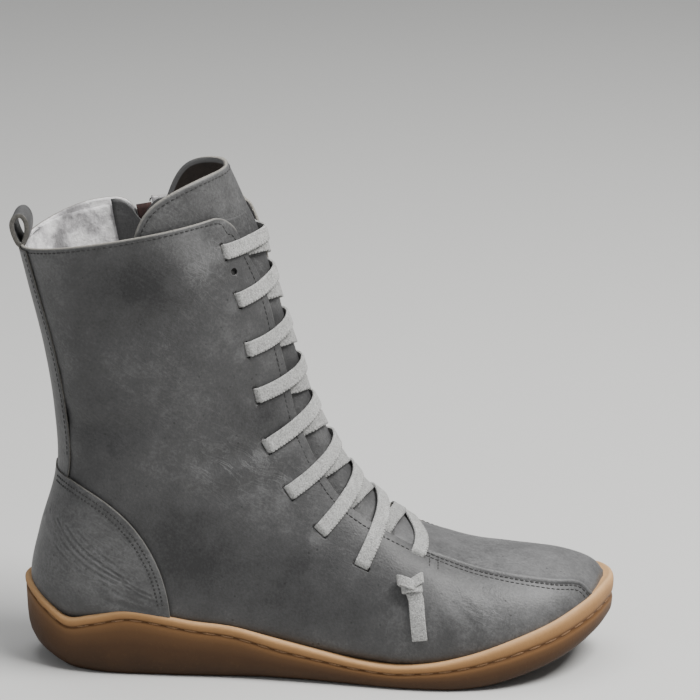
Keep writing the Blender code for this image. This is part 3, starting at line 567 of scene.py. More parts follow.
leather = greyLeather("greyLeather", leatherLook)
# a lighter copy for the apron: painted light on the toe, which faces the light from above
apronLeatherPaintedLight = greyLeather("apronLeatherPaintedLight", leatherLook, 0.18)
counterLeather = greyLeather("counterLeather", leatherLook, 0.05)
tongueLeather = greyLeather("tongueLeather", leatherLook, -0.02)
edgeFinish = cutEdge()
tongueInside = brownLeather()
fleece = paleFleece()
elastic = wovenElastic()
gum = gumRubber()
darkThread = plainThread("darkThread", (0.012, 0.012, 0.012), (0.045, 0.045, 0.045))
greyThread = plainThread("greyThread", (0.10, 0.10, 0.10), (0.24, 0.24, 0.235))
gumThread = plainThread("gumThread", (0.12, 0.06, 0.025), (0.26, 0.14, 0.06))
zipCloth = brownZip("zipCloth", (0.018, 0.007, 0.006), (0.055, 0.023, 0.020), 0.75, 0.0)
zipTeeth = brownZip("zipTeeth", (0.020, 0.008, 0.007), (0.075, 0.030, 0.026), 0.38, 0.0)
zipMetal = brownZip("zipMetal", (0.06, 0.03, 0.024), (0.15, 0.08, 0.065), 0.36, 0.7)
felt = feltInsole()
print("finishes made")


# a grid of squares laid where a function of its two shares says, with values on its points
def gridMesh(rows, columns, where, sizes=(1, 1)):
    bm = bmesh.new()
    uv = bm.loops.layers.uv.new("UVMap")
    bmesh.ops.create_grid(bm, x_segments=columns, y_segments=rows, size=0.5, calc_uvs=True)
    bm.verts.ensure_lookup_table()
    shares = np.array([vert.co[:2] for vert in bm.verts]) + 0.5
    points, facing, values = where(shares[:, 0], shares[:, 1])
    for face in bm.faces:
        for loop in face.loops:
            u, v = shares[loop.vert.index]
            loop[uv].uv = (u * sizes[0], v * sizes[1])
    for vert, p in zip(bm.verts, points):
        vert.co = p * metre
    for key, numbers in values.items():
        layer = bm.verts.layers.float.new(key)
        for vert, number in zip(bm.verts, numbers):
            vert[layer] = number
    bm.normal_update()
    if facing is not None:
        normals = np.array([vert.normal[:] for vert in bm.verts])
        if (normals * facing).sum() < 0:
            bmesh.ops.reverse_faces(bm, faces=bm.faces)
    return bm


def meshOf(name, bm, finishes=()):
    mesh = bpy.data.meshes.new(name)
    bm.to_mesh(mesh)
    bm.free()
    for finish in finishes:
        mesh.materials.append(finish)
    return mesh


def finishPiece(name, bm, finishes, body="boot"):
    mesh = meshOf(name, bm, finishes)
    mesh.shade_smooth()
    piece = addObject(name, mesh)
    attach(piece, body)
    return piece


# several meshes in one
def joined(parts):
    whole = bmesh.new()
    for bm in parts:
        mesh = meshOf("part", bm)
        whole.from_mesh(mesh)
        bpy.data.meshes.remove(mesh)
    return whole


def thicken(piece, thick, inner=0, rim=0):
    solid = piece.modifiers.new("thickness", "SOLIDIFY")
    solid.thickness = thick * metre
    solid.offset = -1
    solid.material_offset = inner
    solid.material_offset_rim = rim


# leather laid as a grid; its finishes are the outside, the inside and the cut edge
def laidLeather(name, look, where, finishes):
    piece = finishPiece(name, gridMesh(look["rows"], look["columns"], where), finishes)
    thicken(piece, look["thick"], 1, 2)
    return piece


# keeps a piece's shape as its modifiers leave it
def settle(piece):
    graph = bpy.context.evaluated_depsgraph_get()
    shaped = bpy.data.meshes.new_from_object(
        piece.evaluated_get(graph), preserve_all_data_layers=True, depsgraph=graph,
    )
    flat = piece.data
    piece.modifiers.clear()
    piece.data = shaped
    bpy.data.meshes.remove(flat)
    shaped.name = piece.name


# a closed profile carried along a line; closed joins the line's ends
def bandMesh(points, normals, profile, closed=False, values=None):
    rows = len(points)
    if closed:
        points = np.vstack([points, points[:1]])
        normals = np.vstack([normals, normals[:1]])
        ahead = np.roll(points[:-1], -1, axis=0) - np.roll(points[:-1], 1, axis=0)
        forward = unit(np.vstack([ahead, ahead[:1]]))
        rows += 1
    else:
        forward = unit(np.gradient(points, axis=0))
    across = unit(np.cross(normals, forward))
    up = np.cross(forward, across)
    profile = np.asarray(profile, float)
    if profile.ndim == 2:
        profile = np.repeat(profile[None], rows, axis=0)
    count = profile.shape[1]
    length = np.linalg.norm(np.diff(points, axis=0), axis=1).sum()
    girth = np.linalg.norm(np.diff(profile[0], axis=0, append=profile[0][:1]), axis=1).sum()

    def where(u, v):
        i = np.rint(v * (rows - 1)).astype(int)
        j = np.rint(u * count).astype(int) % count
        spots = points[i] + across[i] * profile[i, j, 0:1] + up[i] * profile[i, j, 1:2]
        marks = {key: np.asarray(numbers) for key, numbers in (values or {}).items()}
        return spots, None, {key: n[i, j] if n.ndim == 2 else n[i] for key, n in marks.items()}

    bm = gridMesh(rows - 1, count, where, (girth, length))
    bmesh.ops.remove_doubles(bm, verts=bm.verts, dist=1e-7)
    if not closed:
        bmesh.ops.holes_fill(bm, edges=[e for e in bm.edges if e.is_boundary], sides=0)
    bmesh.ops.recalc_face_normals(bm, faces=bm.faces)
    return bm


# rounded rectangle, as across and height; its corners are eased with a few points
def strapProfile(width, low, high, ease, steps=3):
    corners = ((1, 1), (-1, 1), (-1, -1), (1, -1))
    middle, half = (low + high) / 2, (high - low) / 2
    outline = []
    for k, (a, b) in enumerate(corners):
        for step in range(steps + 1):
            turn = math.pi / 2 * (k + step / steps)
            outline.append((
                a * (width / 2 - ease) + ease * math.cos(turn),
                middle + b * (half - ease) + ease * math.sin(turn),
            ))
    return np.array(outline)


# sets a unit shape at a centre along three axes, with its sizes in millimetres
def axesMatrix(centre, axes, sizes=(1, 1, 1)):
    columns = [axis * size for axis, size in zip(axes, sizes)] + [centre]
    return Matrix((np.array(columns).T * metre).tolist() + [[0, 0, 0, 1]])


# a row of small threads along a path, each a low bead dipping into the leather
def stitchRow(bm, points, normals, pitch, length, width, height):
    line = spaced(np.hstack([points, normals]), pitch)
    for a, b in zip(line[:-1], line[1:]):
        forward = unit(b[:3] - a[:3])
        across = np.cross(unit((a[3:] + b[3:]) / 2), forward)
        axes = (across, np.cross(forward, across), forward)
        matrix = axesMatrix((a[:3] + b[:3]) / 2, axes, (width / 2, height / 2, length / 2))
        bmesh.ops.create_uvsphere(bm, u_segments=6, v_segments=4, radius=1.0, matrix=matrix)


def block(bm, size, centre, axes, ease):
    made = bmesh.ops.create_cube(bm, size=1.0, matrix=axesMatrix(centre, axes, size))["verts"]
    edges = list({edge for vert in made for edge in vert.link_edges})
    bmesh.ops.bevel(
        bm, geom=edges, offset=ease * metre, segments=2, profile=0.5, affect="EDGES", material=-1,
    )


# the quarters: both sides and the heel in one skin, with slots, holes and the zip's slit
upperLook = {
    "rows": 250, "columns": 150, "thick": 1.3, "firstRow": 0.9, "crowd": 1.4, "cornerFrom": 15.5,
    "cornerReach": 11.0, "cornerDrop": (8.5, 6.0), "rise": 0.26, "riseAt": 90.0, "riseReach": 24.0,
    "sag": 0.12, "sagReach": 34.0, "behindDrop": 0.55, "behindEnd": 13.0, "behindReach": 9.0,
    "slot": (8.4, 2.0), "slit": 8.0, "spareHole": 3.2, "knotHole": 4.4, "cutDepth": 9.0,
    "halo": 0.20, "haloAway": 4.0, "haloReach": 3.2, "seamDark": 0.85, "seamEdge": 0.6,
}
slotsOuter = (
    (58.5, 201.5), (64.5, 179), (68.5, 156), (72.5, 134), (77, 110), (87, 88.5), (101.5, 71),
    (120.5, 56),
)
slotsInner = (
    (56, 189), (60.5, 167), (65, 144.5), (69.5, 121), (77, 98.5), (90, 78), (107, 62.5),
    (129, 52),
)
outerPlaces = [place(x, z, -1) for x, z in slotsOuter]
innerPlaces = [place(x, z, 1) for x, z in slotsInner]
sparePlace = place(63, 192, -1)
knotPlaces = {"lateral": place(143.0, 47.5, -1), "medial": place(48.5, 200.5, 1)}
zipTopEnd, zipFoot = np.array([(17.5, 211.0), (50.0, 41.0)])
zipStart = -0.055     # the slit starts this share of the zip above its top
zipWay = np.array([
    place(*(zipTopEnd + (zipFoot - zipTopEnd) * t), 1) for t in np.linspace(zipStart, 1.0, 43)
])

# light and dark patches on the upper: x, z on the side, reach in mm, amount
# the patches are partly the leather's own uneven tone and partly painted light: a lighter collar and toe, a
# darker shaft middle and lower quarter
patchesOuter = (
    (40, 205, 16, 0.28), (50, 200, 12, 0.17), (66, 150, 22, 0.02), (78, 112, 20, 0.02),
    (26, 192, 18, -0.46), (8, 172, 26, -0.10), (30, 150, 34, -0.05), (10, 116, 22, -0.20),
    (75, 122, 16, -0.26), (60, 104, 20, 0.04),
    (40, 60, 26, -0.40), (85, 43, 22, -0.30), (120, 30, 20, -0.12), (-20, 190, 12, 0.10),
    (150, 45, 18, 0.14), (175, 40, 18, 0.20), (200, 40, 16, 0.22), (160, 25, 14, -0.05),
    (50, 85, 16, 0.06), (20, 125, 18, 0.04),
)
patchesInner = (
    (40, 190, 18, 0.12), (60, 150, 22, 0.08), (-10, 170, 26, -0.10), (20, 110, 30, -0.10),
    (70, 60, 24, -0.10), (110, 40, 24, -0.08), (150, 45, 20, 0.14), (185, 42, 20, 0.2),
)

# where the leather is finely wrinkled: x, z, reach, amount
wearOuter = (
    (60, 104, 20, 0.9), (38, 188, 24, 0.45), (52, 200, 14, 0.5), (30, 140, 26, 0.35), (0, 120, 20, 0.4),
    (90, 92, 14, 0.6), (110, 60, 18, 0.35), (175, 36, 16, 0.45), (70, 60, 22, 0.3), (-10, 160, 18, 0.35),
)
wearInner = (
    (60, 110, 24, 0.9), (50, 150, 24, 0.5), (80, 80, 22, 0.6), (110, 50, 22, 0.4), (170, 36, 20, 0.4),
    (0, 150, 30, 0.4),
)

# sections near the collar with their heights, and how far round the zip's top is
collarFine = np.linspace(15.5, 19.6, 83)
collarLevels = formValue("topZ", collarFine)
zipTop = float(zipWay[2][1])


# how far a round corner has dropped, from 0 where it starts to 1 at its end
def rounded(into):
    return 1 - np.sqrt(1 - np.clip(into, 0, 1) ** 2)


# the collar's section, with round corners at the facings and behind the zip
def collarSection(w):
    look = upperLook
    w = np.asarray(w, float)
    start = edgeOf(np.full(w.shape, float(collarRow)), w) + look["cornerReach"]
    drop = np.where(w > 0, look["cornerDrop"][1], look["cornerDrop"][0])
    level = sections["collar"][3] - drop * rounded((start - np.abs(w)) / look["cornerReach"])
    rise = look["rise"] * hump(w, look["riseAt"], look["riseReach"])
    toBack = halfLength(float(collarRow), w) - np.abs(w)
    sag = look["sag"] * hump(toBack, 0, look["sagReach"])
    behind = np.where(w > zipTop, (zipTop + look["behindEnd"] - w) / look["behindReach"], 0)
    return np.interp(level, collarLevels, collarFine) + rise - sag - look["behindDrop"] * rounded(behind)


# facing edge from the throat up, round the corner and along the collar to the back
def facingPath(side, throatRow=6.0):
    top = float(collarSection(side * edgeOf(17.3, side)))
    s = np.linspace(throatRow, top, 90)
    w = side * edgeOf(s, side)
    across = np.linspace(edgeOf(top, side), float(halfLength(19.0, side)), 70)[1:]
    return np.concatenate([s, collarSection(side * across)]), np.concatenate([w, side * across])


def seamPath(side):
    s = np.linspace(6.0, 0.9, 60)
    return s, side * edgeOf(s, side)


def patchTone(points, patches, side):
    tone = np.zeros(len(points))
    for x, z, reach, amount in patches:
        away = np.linalg.norm(points - skin(*place(x, z, side)), axis=1)
        tone += amount * hump(away, 0, reach)
    return tone


# soft troughs and ridges, listed as x, z points on the side, width and depth in mm
foldsOuter = (
    (((92, 118), (70, 108), (48, 104)), 5.0, 0.9),
    (((86, 98), (64, 90), (44, 90)), 4.5, 0.7),
    (((30, 128), (8, 120), (-14, 122)), 6.0, 0.8),
    (((40, 172), (18, 166), (-8, 168)), 8.0, 0.7),
    (((120, 48), (128, 36), (130, 24)), 4.0, 0.25),
    (((146, 50), (152, 38), (156, 26)), 4.5, 0.25),
    (((160, 46), (167, 36), (172, 26)), 3.5, 0.2),
    (((176, 44), (182, 36), (186, 28)), 3.5, 0.15),
    (((163, 40), (172, 31), (182, 21)), 1.1, 0.20),
    (((168, 41), (177, 32), (186, 23)), 1.1, 0.20),
)
foldsInner = (
    (((90, 116), (72, 106), (60, 96)), 5.0, 0.9),
    (((84, 98), (70, 88), (60, 76)), 4.5, 0.8),
    (((56, 150), (44, 142), (38, 130)), 5.0, 0.7),
    (((10, 120), (-6, 116), (-16, 118)), 6.0, 0.7),
    (((146, 48), (150, 36), (152, 26)), 4.5, 0.8),
    (((162, 46), (168, 34), (172, 26)), 4.0, 0.7),
    (((178, 44), (184, 36), (190, 30)), 3.5, 0.5),
)


# each fold sinks along its line, between low shoulders
def foldDepth(points, folds, side, shoulder=0.45, shoulderAt=1.9, steps=14):
    depth = np.zeros(len(points))
    for line, width, deep in folds:
        turned = np.array([skin(*place(x, z, side)) for x, z in line])
        away = distanceTo(points, spline(turned, np.linspace(0, len(turned) - 1, steps)))
        depth += deep * (shoulder * hump(away, shoulderAt * width, width) - hump(away, 0, width))
    return depth


# a value laid on each side of the upper from that side's table
def bySide(lay, points, outerSide, outer, inner):
    return np.where(outerSide, lay(points, outer, -1), lay(points, inner, 1))


def upperSpot(u, v):
    look = upperLook
    row = look["firstRow"] + (collarRow - look["firstRow"]) * v
    outerEdge, innerEdge = edgeOf(row), edgeOf(row, 1)
    outer, inner = halfLength(row, -1), halfLength(row, 1)
    w = np.where(
        u < 0.5, -(outerEdge + (outer - outerEdge) * (2 * u) ** look["crowd"]),
        innerEdge + (inner - innerEdge) * np.clip(2 - 2 * u, 0, 1) ** look["crowd"],
    )
    start = look["cornerFrom"]
    raised = start + (row - start) * (collarSection(w) - start) / (collarRow - start)
    s = np.where(row > start, raised, row)
    points, facing = skin(s, w), outward(s, w)
    outerSide = w < 0
    edges = np.full(len(s), 20.0)
    for side in (-1, 1):
        edges = np.minimum(edges, distanceTo(points, spaced(skin(*facingPath(side)), 2.0)))
        edges = np.minimum(edges, distanceTo(points, spaced(skin(*seamPath(side)), 2.0)) + 0.9)
    closed = outerSide * np.clip((17.4 - s) / 0.6, 0, 1)
    edges = edges + look["seamEdge"] * closed
    tone = bySide(patchTone, points, outerSide, patchesOuter, patchesInner)
    for slotRow, slotWidth in outerPlaces + innerPlaces:
        halo = skin(slotRow, slotWidth + math.copysign(look["haloAway"], slotWidth))
        tone += look["halo"] * hump(np.linalg.norm(points - halo, axis=1), 0, look["haloReach"])
    wear = bySide(patchTone, points, outerSide, wearOuter, wearInner)
    folds = bySide(foldDepth, points, outerSide, foldsOuter, foldsInner)
    folds = folds * np.clip((edges - 2.0) / 6.0, 0, 1)
    # the seam value darkens the cut edge: along the apron seam as painted shade in the gap, and along the
    # outer facing below the collar as a darker edge
    seam = np.maximum(np.clip((6.3 - s) / 0.5, 0, 1), look["seamDark"] * closed)
    values = {"edge": edges, "tone": tone, "wear": wear, "seam": seam}
    return points + facing * folds[:, None], facing, values


def cutter(name, bm, finish):
    bmesh.ops.recalc_face_normals(bm, faces=bm.faces)
    return addObject(name, meshOf(name, bm, [finish]))


def cutAway(piece, tool):
    cut = piece.modifiers.new(tool.name, "BOOLEAN")
    cut.operation = "DIFFERENCE"
    cut.object = tool
    cut.solver = "EXACT"
    cut.material_mode = "TRANSFER"


def axesAt(s, w):
    n = outward(s, w)
    up = skin(s + 0.1, w) - skin(s - 0.1, w)
    up = unit(up - n * np.dot(up, n))
    return skin(s, w), np.cross(n, up), up, n


def slotCutters():
    bm = bmesh.new()
    long, wide = upperLook["slot"]
    for at in outerPlaces + innerPlaces:
        centre, *axes = axesAt(*at)
        block(bm, (wide, long, upperLook["cutDepth"]), centre, axes, 0.5)
    holes = [(sparePlace, upperLook["spareHole"])]
    holes += [(at, upperLook["knotHole"]) for at in knotPlaces.values()]
    for at, wide in holes:
        centre, *axes = axesAt(*at)
        bmesh.ops.create_cone(
            bm, cap_ends=True, segments=20, radius1=wide / 2, radius2=wide / 2,
            depth=upperLook["cutDepth"], matrix=axesMatrix(centre, axes),
        )
    # the cut walls take the dark thread finish: painted shade inside the slots and holes
    return cutter("slotCutters", bm, darkThread)


def zipPoints(low, high, count):
    at = (np.linspace(low, high, count) - zipStart) / (1 - zipStart) * (len(zipWay) - 1)
    s, w = np.array([np.interp(at, np.arange(len(zipWay)), zipWay[:, k]) for k in range(2)])
    return skin(s, w), outward(s, w)


def makeUpper():
    upper = laidLeather("quarters", upperLook, upperSpot, [leather, fleece, edgeFinish])
    slitMesh = bandMesh(*zipPoints(zipStart, 1.0, 40), strapProfile(upperLook["slit"], -5, 5, 0.4))
    tools = (slotCutters(), cutter("slitCutter", slitMesh, edgeFinish))
    for tool in tools:
        cutAway(upper, tool)
    settle(upper)
    for tool in tools:
        bpy.data.objects.remove(tool, do_unlink=True)
    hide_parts("upper")


makeUpper()
print("quarters cut and folded")


# the apron: toe and vamp between the seams, tucked under the quarters and the lowest lace
apronLook = {
    "rows": 130, "columns": 110, "drop": 1.0, "ridge": 1.25, "tuck": 5.0, "lastRow": 6.9, "thick": 1.2,
}


def apronSpot(u, v):
    s = apronLook["lastRow"] * v ** 1.15
    side = np.where(u < 0.5, -1.0, 1.0)
    front = np.clip((1.4 - s) / 0.8, 0, 1)
    reach = (edgeOf(s, side) + apronLook["tuck"]) * (1 - front) + 0.86 * halfLength(s, side) * front
    w = (2 * u - 1) * reach
    points, facing = skin(s, w), outward(s, w)
    inside = edgeOf(s, w) - np.abs(w)
    steady = np.clip((6.2 - s) / 0.8, 0, 1) * np.clip((s - 0.7) / 0.6, 0, 1)
    drop = apronLook["drop"] + 2.0 * np.clip((s - 6.1) / 0.8, 0, 1) ** 2
    drop = drop - apronLook["ridge"] * hump(inside, 2.3, 1.5) * steady
    # painted light on the apron: lighter over the toe box, a dark band at the seam as painted shadow in the
    # gap and a faint painted highlight on the ridge beside it; a little darker at the tip
    tone = 0.12 * hump(s, 3.0, 1.6) - 0.05 * hump(s, 0.4, 0.6)
    tone = tone - 0.8 * hump(inside, -0.2, 1.1) + 0.08 * hump(inside, 2.6, 1.4)
    return points - facing * drop[:, None], facing, {
        "edge": np.full(len(s), 20.0), "tone": tone, "wear": 0.25 + 0.3 * hump(s, 4.2, 0.9),
    }


def makeApron():
    bm = gridMesh(apronLook["rows"], apronLook["columns"], apronSpot)
    tipX = sections["toeTip"][0] * metre
    rim = [e for e in bm.edges if e.is_boundary]
    front = [e for e in rim if all(abs(v.co.x - tipX) < 0.004 for v in e.verts)]
    bmesh.ops.holes_fill(bm, edges=front, sides=0)
    apron = finishPiece("apron", bm, [apronLeatherPaintedLight, fleece, edgeFinish])
    thicken(apron, apronLook["thick"], 1, 2)


makeApron()

# the tongue, behind the facings and up past the collar
tongueLook = {
    "rows": 150, "columns": 60, "depth": 3.1, "thick": 1.8, "firstRow": 5.2, "lastRow": 20.0,
    "roundFrom": 17.0, "roundFlat": 0.3, "bulge": 2.35, "sweepFrom": 16.4, "sweep": 0.7,
    "roundOuter": ((0.45, 2.0), (0.70, 9.0)), "roundInner": ((1.15, 5.5), (0.0, 1.0)),
}
tongueHalf = (
    (5.2, 16), (6, 26), (8, 31), (10, 32), (13, 32), (15, 35), (17, 46), (18, 54), (19, 59), (20, 60),
)
tongueLean = ((5, 0), (14, 0), (18, 5), (20, 5))


def tonguePlace(u, v):
    row = tongueLook["firstRow"] + (tongueLook["lastRow"] - tongueLook["firstRow"]) * v
    share = 2 * u - 1
    into = np.maximum(np.abs(share) - tongueLook["roundFlat"], 0) / (1 - tongueLook["roundFlat"])
    outer, inner = (
        sum(amount * into ** power for amount, power in tongueLook[key])
        for key in ("roundOuter", "roundInner")
    )
    top = tongueLook["lastRow"] - np.where(share > 0, inner, outer)
    start, last = tongueLook["roundFrom"], tongueLook["lastRow"]
    s = np.where(row > start, start + (row - start) * (top - start) / (last - start), row)
    return s, share * along(tongueHalf, row) - along(tongueLean, row)


# the rows crowd together at the collar, so the tongue keeps the facing from below it
def tongueFacing(s, w):
    return outward(np.minimum(s, 16.8), w)


# between the facings it runs on in one sweep from below the collar to its top
def tongueSkin(s, w):
    start, last = tongueLook["sweepFrom"], tongueLook["lastRow"]
    low, high = formValue("topZ", np.array([start, last]))
    share = np.clip((formValue("topZ", np.maximum(s, start)) - low) / (high - low), 0, 1)[:, None]
    foot, top = skin(np.full(len(s), start), w), skin(np.full(len(s), last), w)
    swept = foot + (top - foot) * share + 4 * share * (1 - share) * tongueLook["sweep"] * splay["way"]
    middle = (eased((w + 18) / 10) * eased((34 - w) / 16) * (s > start))[:, None]
    return skin(s, w) * (1 - middle) + swept * middle


def tongueSpot(u, v):
    s, w = tonguePlace(u, v)
    points, facing = tongueSkin(s, w), tongueFacing(s, w)
    middle = np.clip(1 - (w / (edgeOf(s, w) - 2.0)) ** 2, 0, 1)
    middle = middle * np.clip((s - 6.6) / 1.0, 0, 1) * eased((19.8 - s) / 5.4)
    points = points - facing * (tongueLook["depth"] - tongueLook["bulge"] * middle)[:, None]
    edges = distanceTo(points, tongueRim()[0])
    # lighter at its top as painted light from above, and darker lower down between the facings
    tone = 0.10 * hump(s, 19.4, 0.9) - 0.06 * hump(s, 14, 4.0)
    return points, facing, {"edge": edges, "tone": tone, "wear": np.full(len(s), 0.35)}


# the tongue's free outline: up one side, over the top and down the other
def tongueRim(inset=0.0):
    up = np.linspace(0.55, 1, 60)
    top = np.linspace(0, 1, 60)[1:-1]
    u = np.concatenate([np.zeros(60), top, np.ones(60)])
    v = np.concatenate([up, np.ones(58), up[::-1]])
    s, w = tonguePlace(u, v)
    if inset:
        s, w = beside(s, w, -inset)
    facing = tongueFacing(s, w)
    return tongueSkin(s, w) - facing * tongueLook["depth"], facing


def makeTongue():
    finishes = [tongueLeather, tongueInside, edgeFinish]
    tongue = laidLeather("leatherTongue", tongueLook, tongueSpot, finishes)
    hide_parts("tongue")


makeTongue()

# the heel counter, and the strip up the back
counterLook = {
    "rows": 150, "columns": 230, "centre": (-20.0, 28.0), "reach": (52.5, 66.0), "power": 1.9,
    "height": 1.7, "thick": 1.1,
}
stripLook = {
    "rows": 80, "columns": 30, "half": (24.0, 20.0), "height": 1.0, "thick": 0.8, "first": 14.3,
    "last": 18.84,
}


def counterOutline(side):
    turn = np.linspace(0.02, math.pi / 2, 40)
    (cx, cz), (rx, rz) = counterLook["centre"], counterLook["reach"]
    xs = cx + rx * np.cos(turn) ** (2 / counterLook["power"])
    zs = cz + rz * np.sin(turn) ** (2 / counterLook["power"])
    found = np.array([place(x, z, side) for x, z in zip(xs, zs) if x > cx + 1.5])
    top = (found[-1][0] + 0.12, side * float(halfLength(found[-1][0] + 0.12, side)))
    return np.vstack([found, top])


counterEdges = {side: counterOutline(side) for side in (-1, 1)}
# fine diagonal creases on the counter's outer side, as x, z
counterCreases = (
    (((-22, 76), (-14, 62), (-2, 52), (8, 47)), 0.62, 0.22),
    (((-18, 74), (-10, 62), (2, 53), (13, 47)), 0.60, 0.26),
    (((-14, 72), (-6, 62), (6, 53), (15, 48)), 0.60, 0.24),
    (((-9, 71), (0, 62), (9, 55)), 0.58, 0.20),
    (((-25, 72), (-18, 60), (-8, 51)), 0.62, 0.20),
    (((8, 52), (16, 45), (24, 41)), 0.60, 0.24),
    (((11, 47), (19, 41), (26, 38)), 0.60, 0.20),
    (((0, 48), (10, 41), (20, 37)), 0.70, 0.17),
    (((4, 38), (14, 36), (24, 33)), 1.4, 0.17),
)


def counterSpot(u, v):
    outer, inner = counterEdges[-1], counterEdges[1]
    low = max(outer[0, 0], inner[0, 0])
    high = min(outer[-1, 0], inner[-1, 0])
    s = high - (high - low) * (1 - v) ** 1.7
    edgeOuter = np.interp(s, outer[:, 0], -outer[:, 1])
    edgeInner = np.interp(s, inner[:, 0], inner[:, 1])
    full = halfLength(s, -1) + halfLength(s, 1)
    w = -(edgeOuter + (full - edgeInner - edgeOuter) * u)
    points, facing = skin(s, w), outward(s, w)
    rims = [spaced(skin(counterEdges[side][:, 0], counterEdges[side][:, 1]), 2.0) for side in (-1, 1)]
    edges = np.minimum(distanceTo(points, rims[0]), distanceTo(points, rims[1]))
    crease = sum(foldDepth(points, counterCreases, side, 0.6, 1.8, 16) for side in (-1, 1))
    z = points[:, 2]
    # the creases are painted too: darker in the troughs as painted shade, lighter on the ridges as a
    # painted highlight; the counter is also lighter at mid height and darker low down
    tone = 0.12 * hump(z, 58, 20) - 0.10 * hump(z, 30, 9) + np.where(crease < 0, 0.35, 0.9) * crease
    height = counterLook["height"] + crease * np.clip(edges / 4, 0, 1)
    wear = 0.25 + patchTone(points, ((4, 56, 22, 0.5),), -1)
    # the seam value darkens its cut edge: painted shade below the raised rim
    return points + facing * height[:, None], facing, {
        "edge": edges + 0.5, "tone": tone, "wear": wear, "seam": np.full(len(s), 0.65),
    }


def stripHalf(s):
    first, last = stripLook["first"], stripLook["last"]
    low, high = stripLook["half"]
    return low + (high - low) * np.clip((s - first) / (last - first), 0, 1)


def stripSpot(u, v):
    s = stripLook["first"] + (stripLook["last"] - stripLook["first"]) * v
    half = stripHalf(s)
    w = -(halfLength(s, -1) + half * (2 * u - 1))
    points, facing = onForm(s, w, stripLook["height"])
    edges = half * (1 - np.abs(2 * u - 1))
    # a dark band along both edges and the darkened cut edge are painted shadow at the strip's raised edges
    return points, facing, {
        "edge": edges + 0.5, "tone": 0.02 - 0.25 * hump(edges, 0, 0.9), "wear": np.full(len(s), 0.3),
        "seam": np.full(len(s), 0.6),
    }


def makeHeel():
    finishes = [counterLeather, counterLeather, edgeFinish]
    counter = laidLeather("heelCounter", counterLook, counterSpot, finishes)
    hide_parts("heel_counter")
    strip = laidLeather("backStrip", stripLook, stripSpot, finishes)
    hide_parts("back_strip")


makeHeel()
print("tongue, counter and strip laid on")

# the pull loop: a strap folded to a drop, on a thin stem in the wall, which is in metres
loopLook = {
    "width": 17.0, "thick": 2.2, "steps": 56,
    "stem": (0.0014, 0.0166, 0.012), "stemLean": -0.22, "stemAt": (-0.0340, 0, 0.1955),
}
loopRing = (
    (-33.4, 200.8), (-31.8, 205.8), (-32.0, 210.6), (-34.0, 213.6),
    (-36.6, 213.2), (-38.4, 210.2), (-37.9, 205.8), (-35.6, 200.6),
)


def makeLoop():
    wrapped = loopRing[-1:] + loopRing + loopRing[:3]
    at = 1 + np.arange(loopLook["steps"]) / loopLook["steps"] * len(loopRing)
    flat = spline(wrapped, at)
    ahead = spline(wrapped, at + 0.1) - spline(wrapped, at - 0.1)
    points = np.stack([flat[:, 0], np.zeros(len(flat)), flat[:, 1]], axis=1)
    normals = unit(np.stack([ahead[:, 1], np.zeros(len(flat)), -ahead[:, 0]], axis=1))
    half = loopLook["thick"] / 2
    profile = strapProfile(loopLook["width"], -half, half, 0.35)
    marks = {"edge": 6.0, "tone": 0.06, "seam": 0.6}
    bm = bandMesh(points, normals, profile, closed=True, values={
        key: np.full(len(points) + 1, value) for key, value in marks.items()
    })
    for face in bm.faces:
        if abs(face.normal.y) > 0.6:
            face.material_index = 1
    stem = bmesh.ops.create_cube(bm, size=1.0)["verts"]
    lean = Matrix.Rotation(loopLook["stemLean"], 3, "Y")
    bmesh.ops.scale(bm, verts=stem, vec=loopLook["stem"])
    bmesh.ops.rotate(bm, verts=stem, cent=(0, 0, 0), matrix=lean)
    bmesh.ops.translate(bm, verts=stem, vec=loopLook["stemAt"])
    loop = finishPiece("pullLoop", bm, [leather, edgeFinish])
    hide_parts("pull_loop")


makeLoop()

# fleece round the shaft, and smooth leather behind the zip
liningLook = {
    "rows": 110, "columns": 120, "depth": 2.05, "thick": 0.6, "first": 8.0, "fromFacing": 10.0,
    "fromZip": 12.0, "tuft": 0.35,
}
guardLook = {
    "rows": 90, "columns": 30, "depth": 3.0, "thick": 0.5, "fromFacing": 3.0, "fromZip": 15.0,
    "dip": 0.5, "dipReach": 4.5,
}


def zipAlong(row):
    return np.interp(row, zipWay[::-1, 0], zipWay[::-1, 1])


def liningTop(w):
    return collarSection(w) - 0.06 - 0.10 * np.clip(1 - np.abs(np.abs(w) - 60) / 60, 0, 1)


def liningSpot(u, v):
    row = liningLook["first"] + (collarRow - liningLook["first"]) * v
    outer, inner = halfLength(row, -1), halfLength(row, 1)
    start = edgeOf(row) + liningLook["fromFacing"]
    zipEdge = np.minimum(zipAlong(row) + liningLook["fromZip"], inner - 6)
    w = -(start + (outer + inner - zipEdge - start) * u)
    s = np.minimum(row, liningTop(np.where(-w > outer, outer + inner + w, w)))
    points, facing = skin(s, w), outward(s, w)
    tuft = liningLook["tuft"] * np.sin(points[:, 0] * 0.9) * np.sin(points[:, 2] * 0.8)
    return points - facing * (liningLook["depth"] + tuft)[:, None], -facing, {}


def guardSpot(u, v):
    row = liningLook["first"] + (collarRow - liningLook["first"]) * v
    zipAt = zipAlong(row)
    back = np.minimum(zipAt + guardLook["fromZip"], halfLength(row, 1) - 3)
    w = back + (edgeOf(row, 1) + guardLook["fromFacing"] - back) * u
    top = collarSection(w) - 0.05 - guardLook["dip"] * hump(w, zipAt, guardLook["dipReach"])
    s = liningLook["first"] + (top - liningLook["first"]) * v
    points, facing = onForm(s, w, -guardLook["depth"])
    return points, -facing, {"edge": np.full(len(s), 9.0), "tone": np.full(len(s), -0.05)}


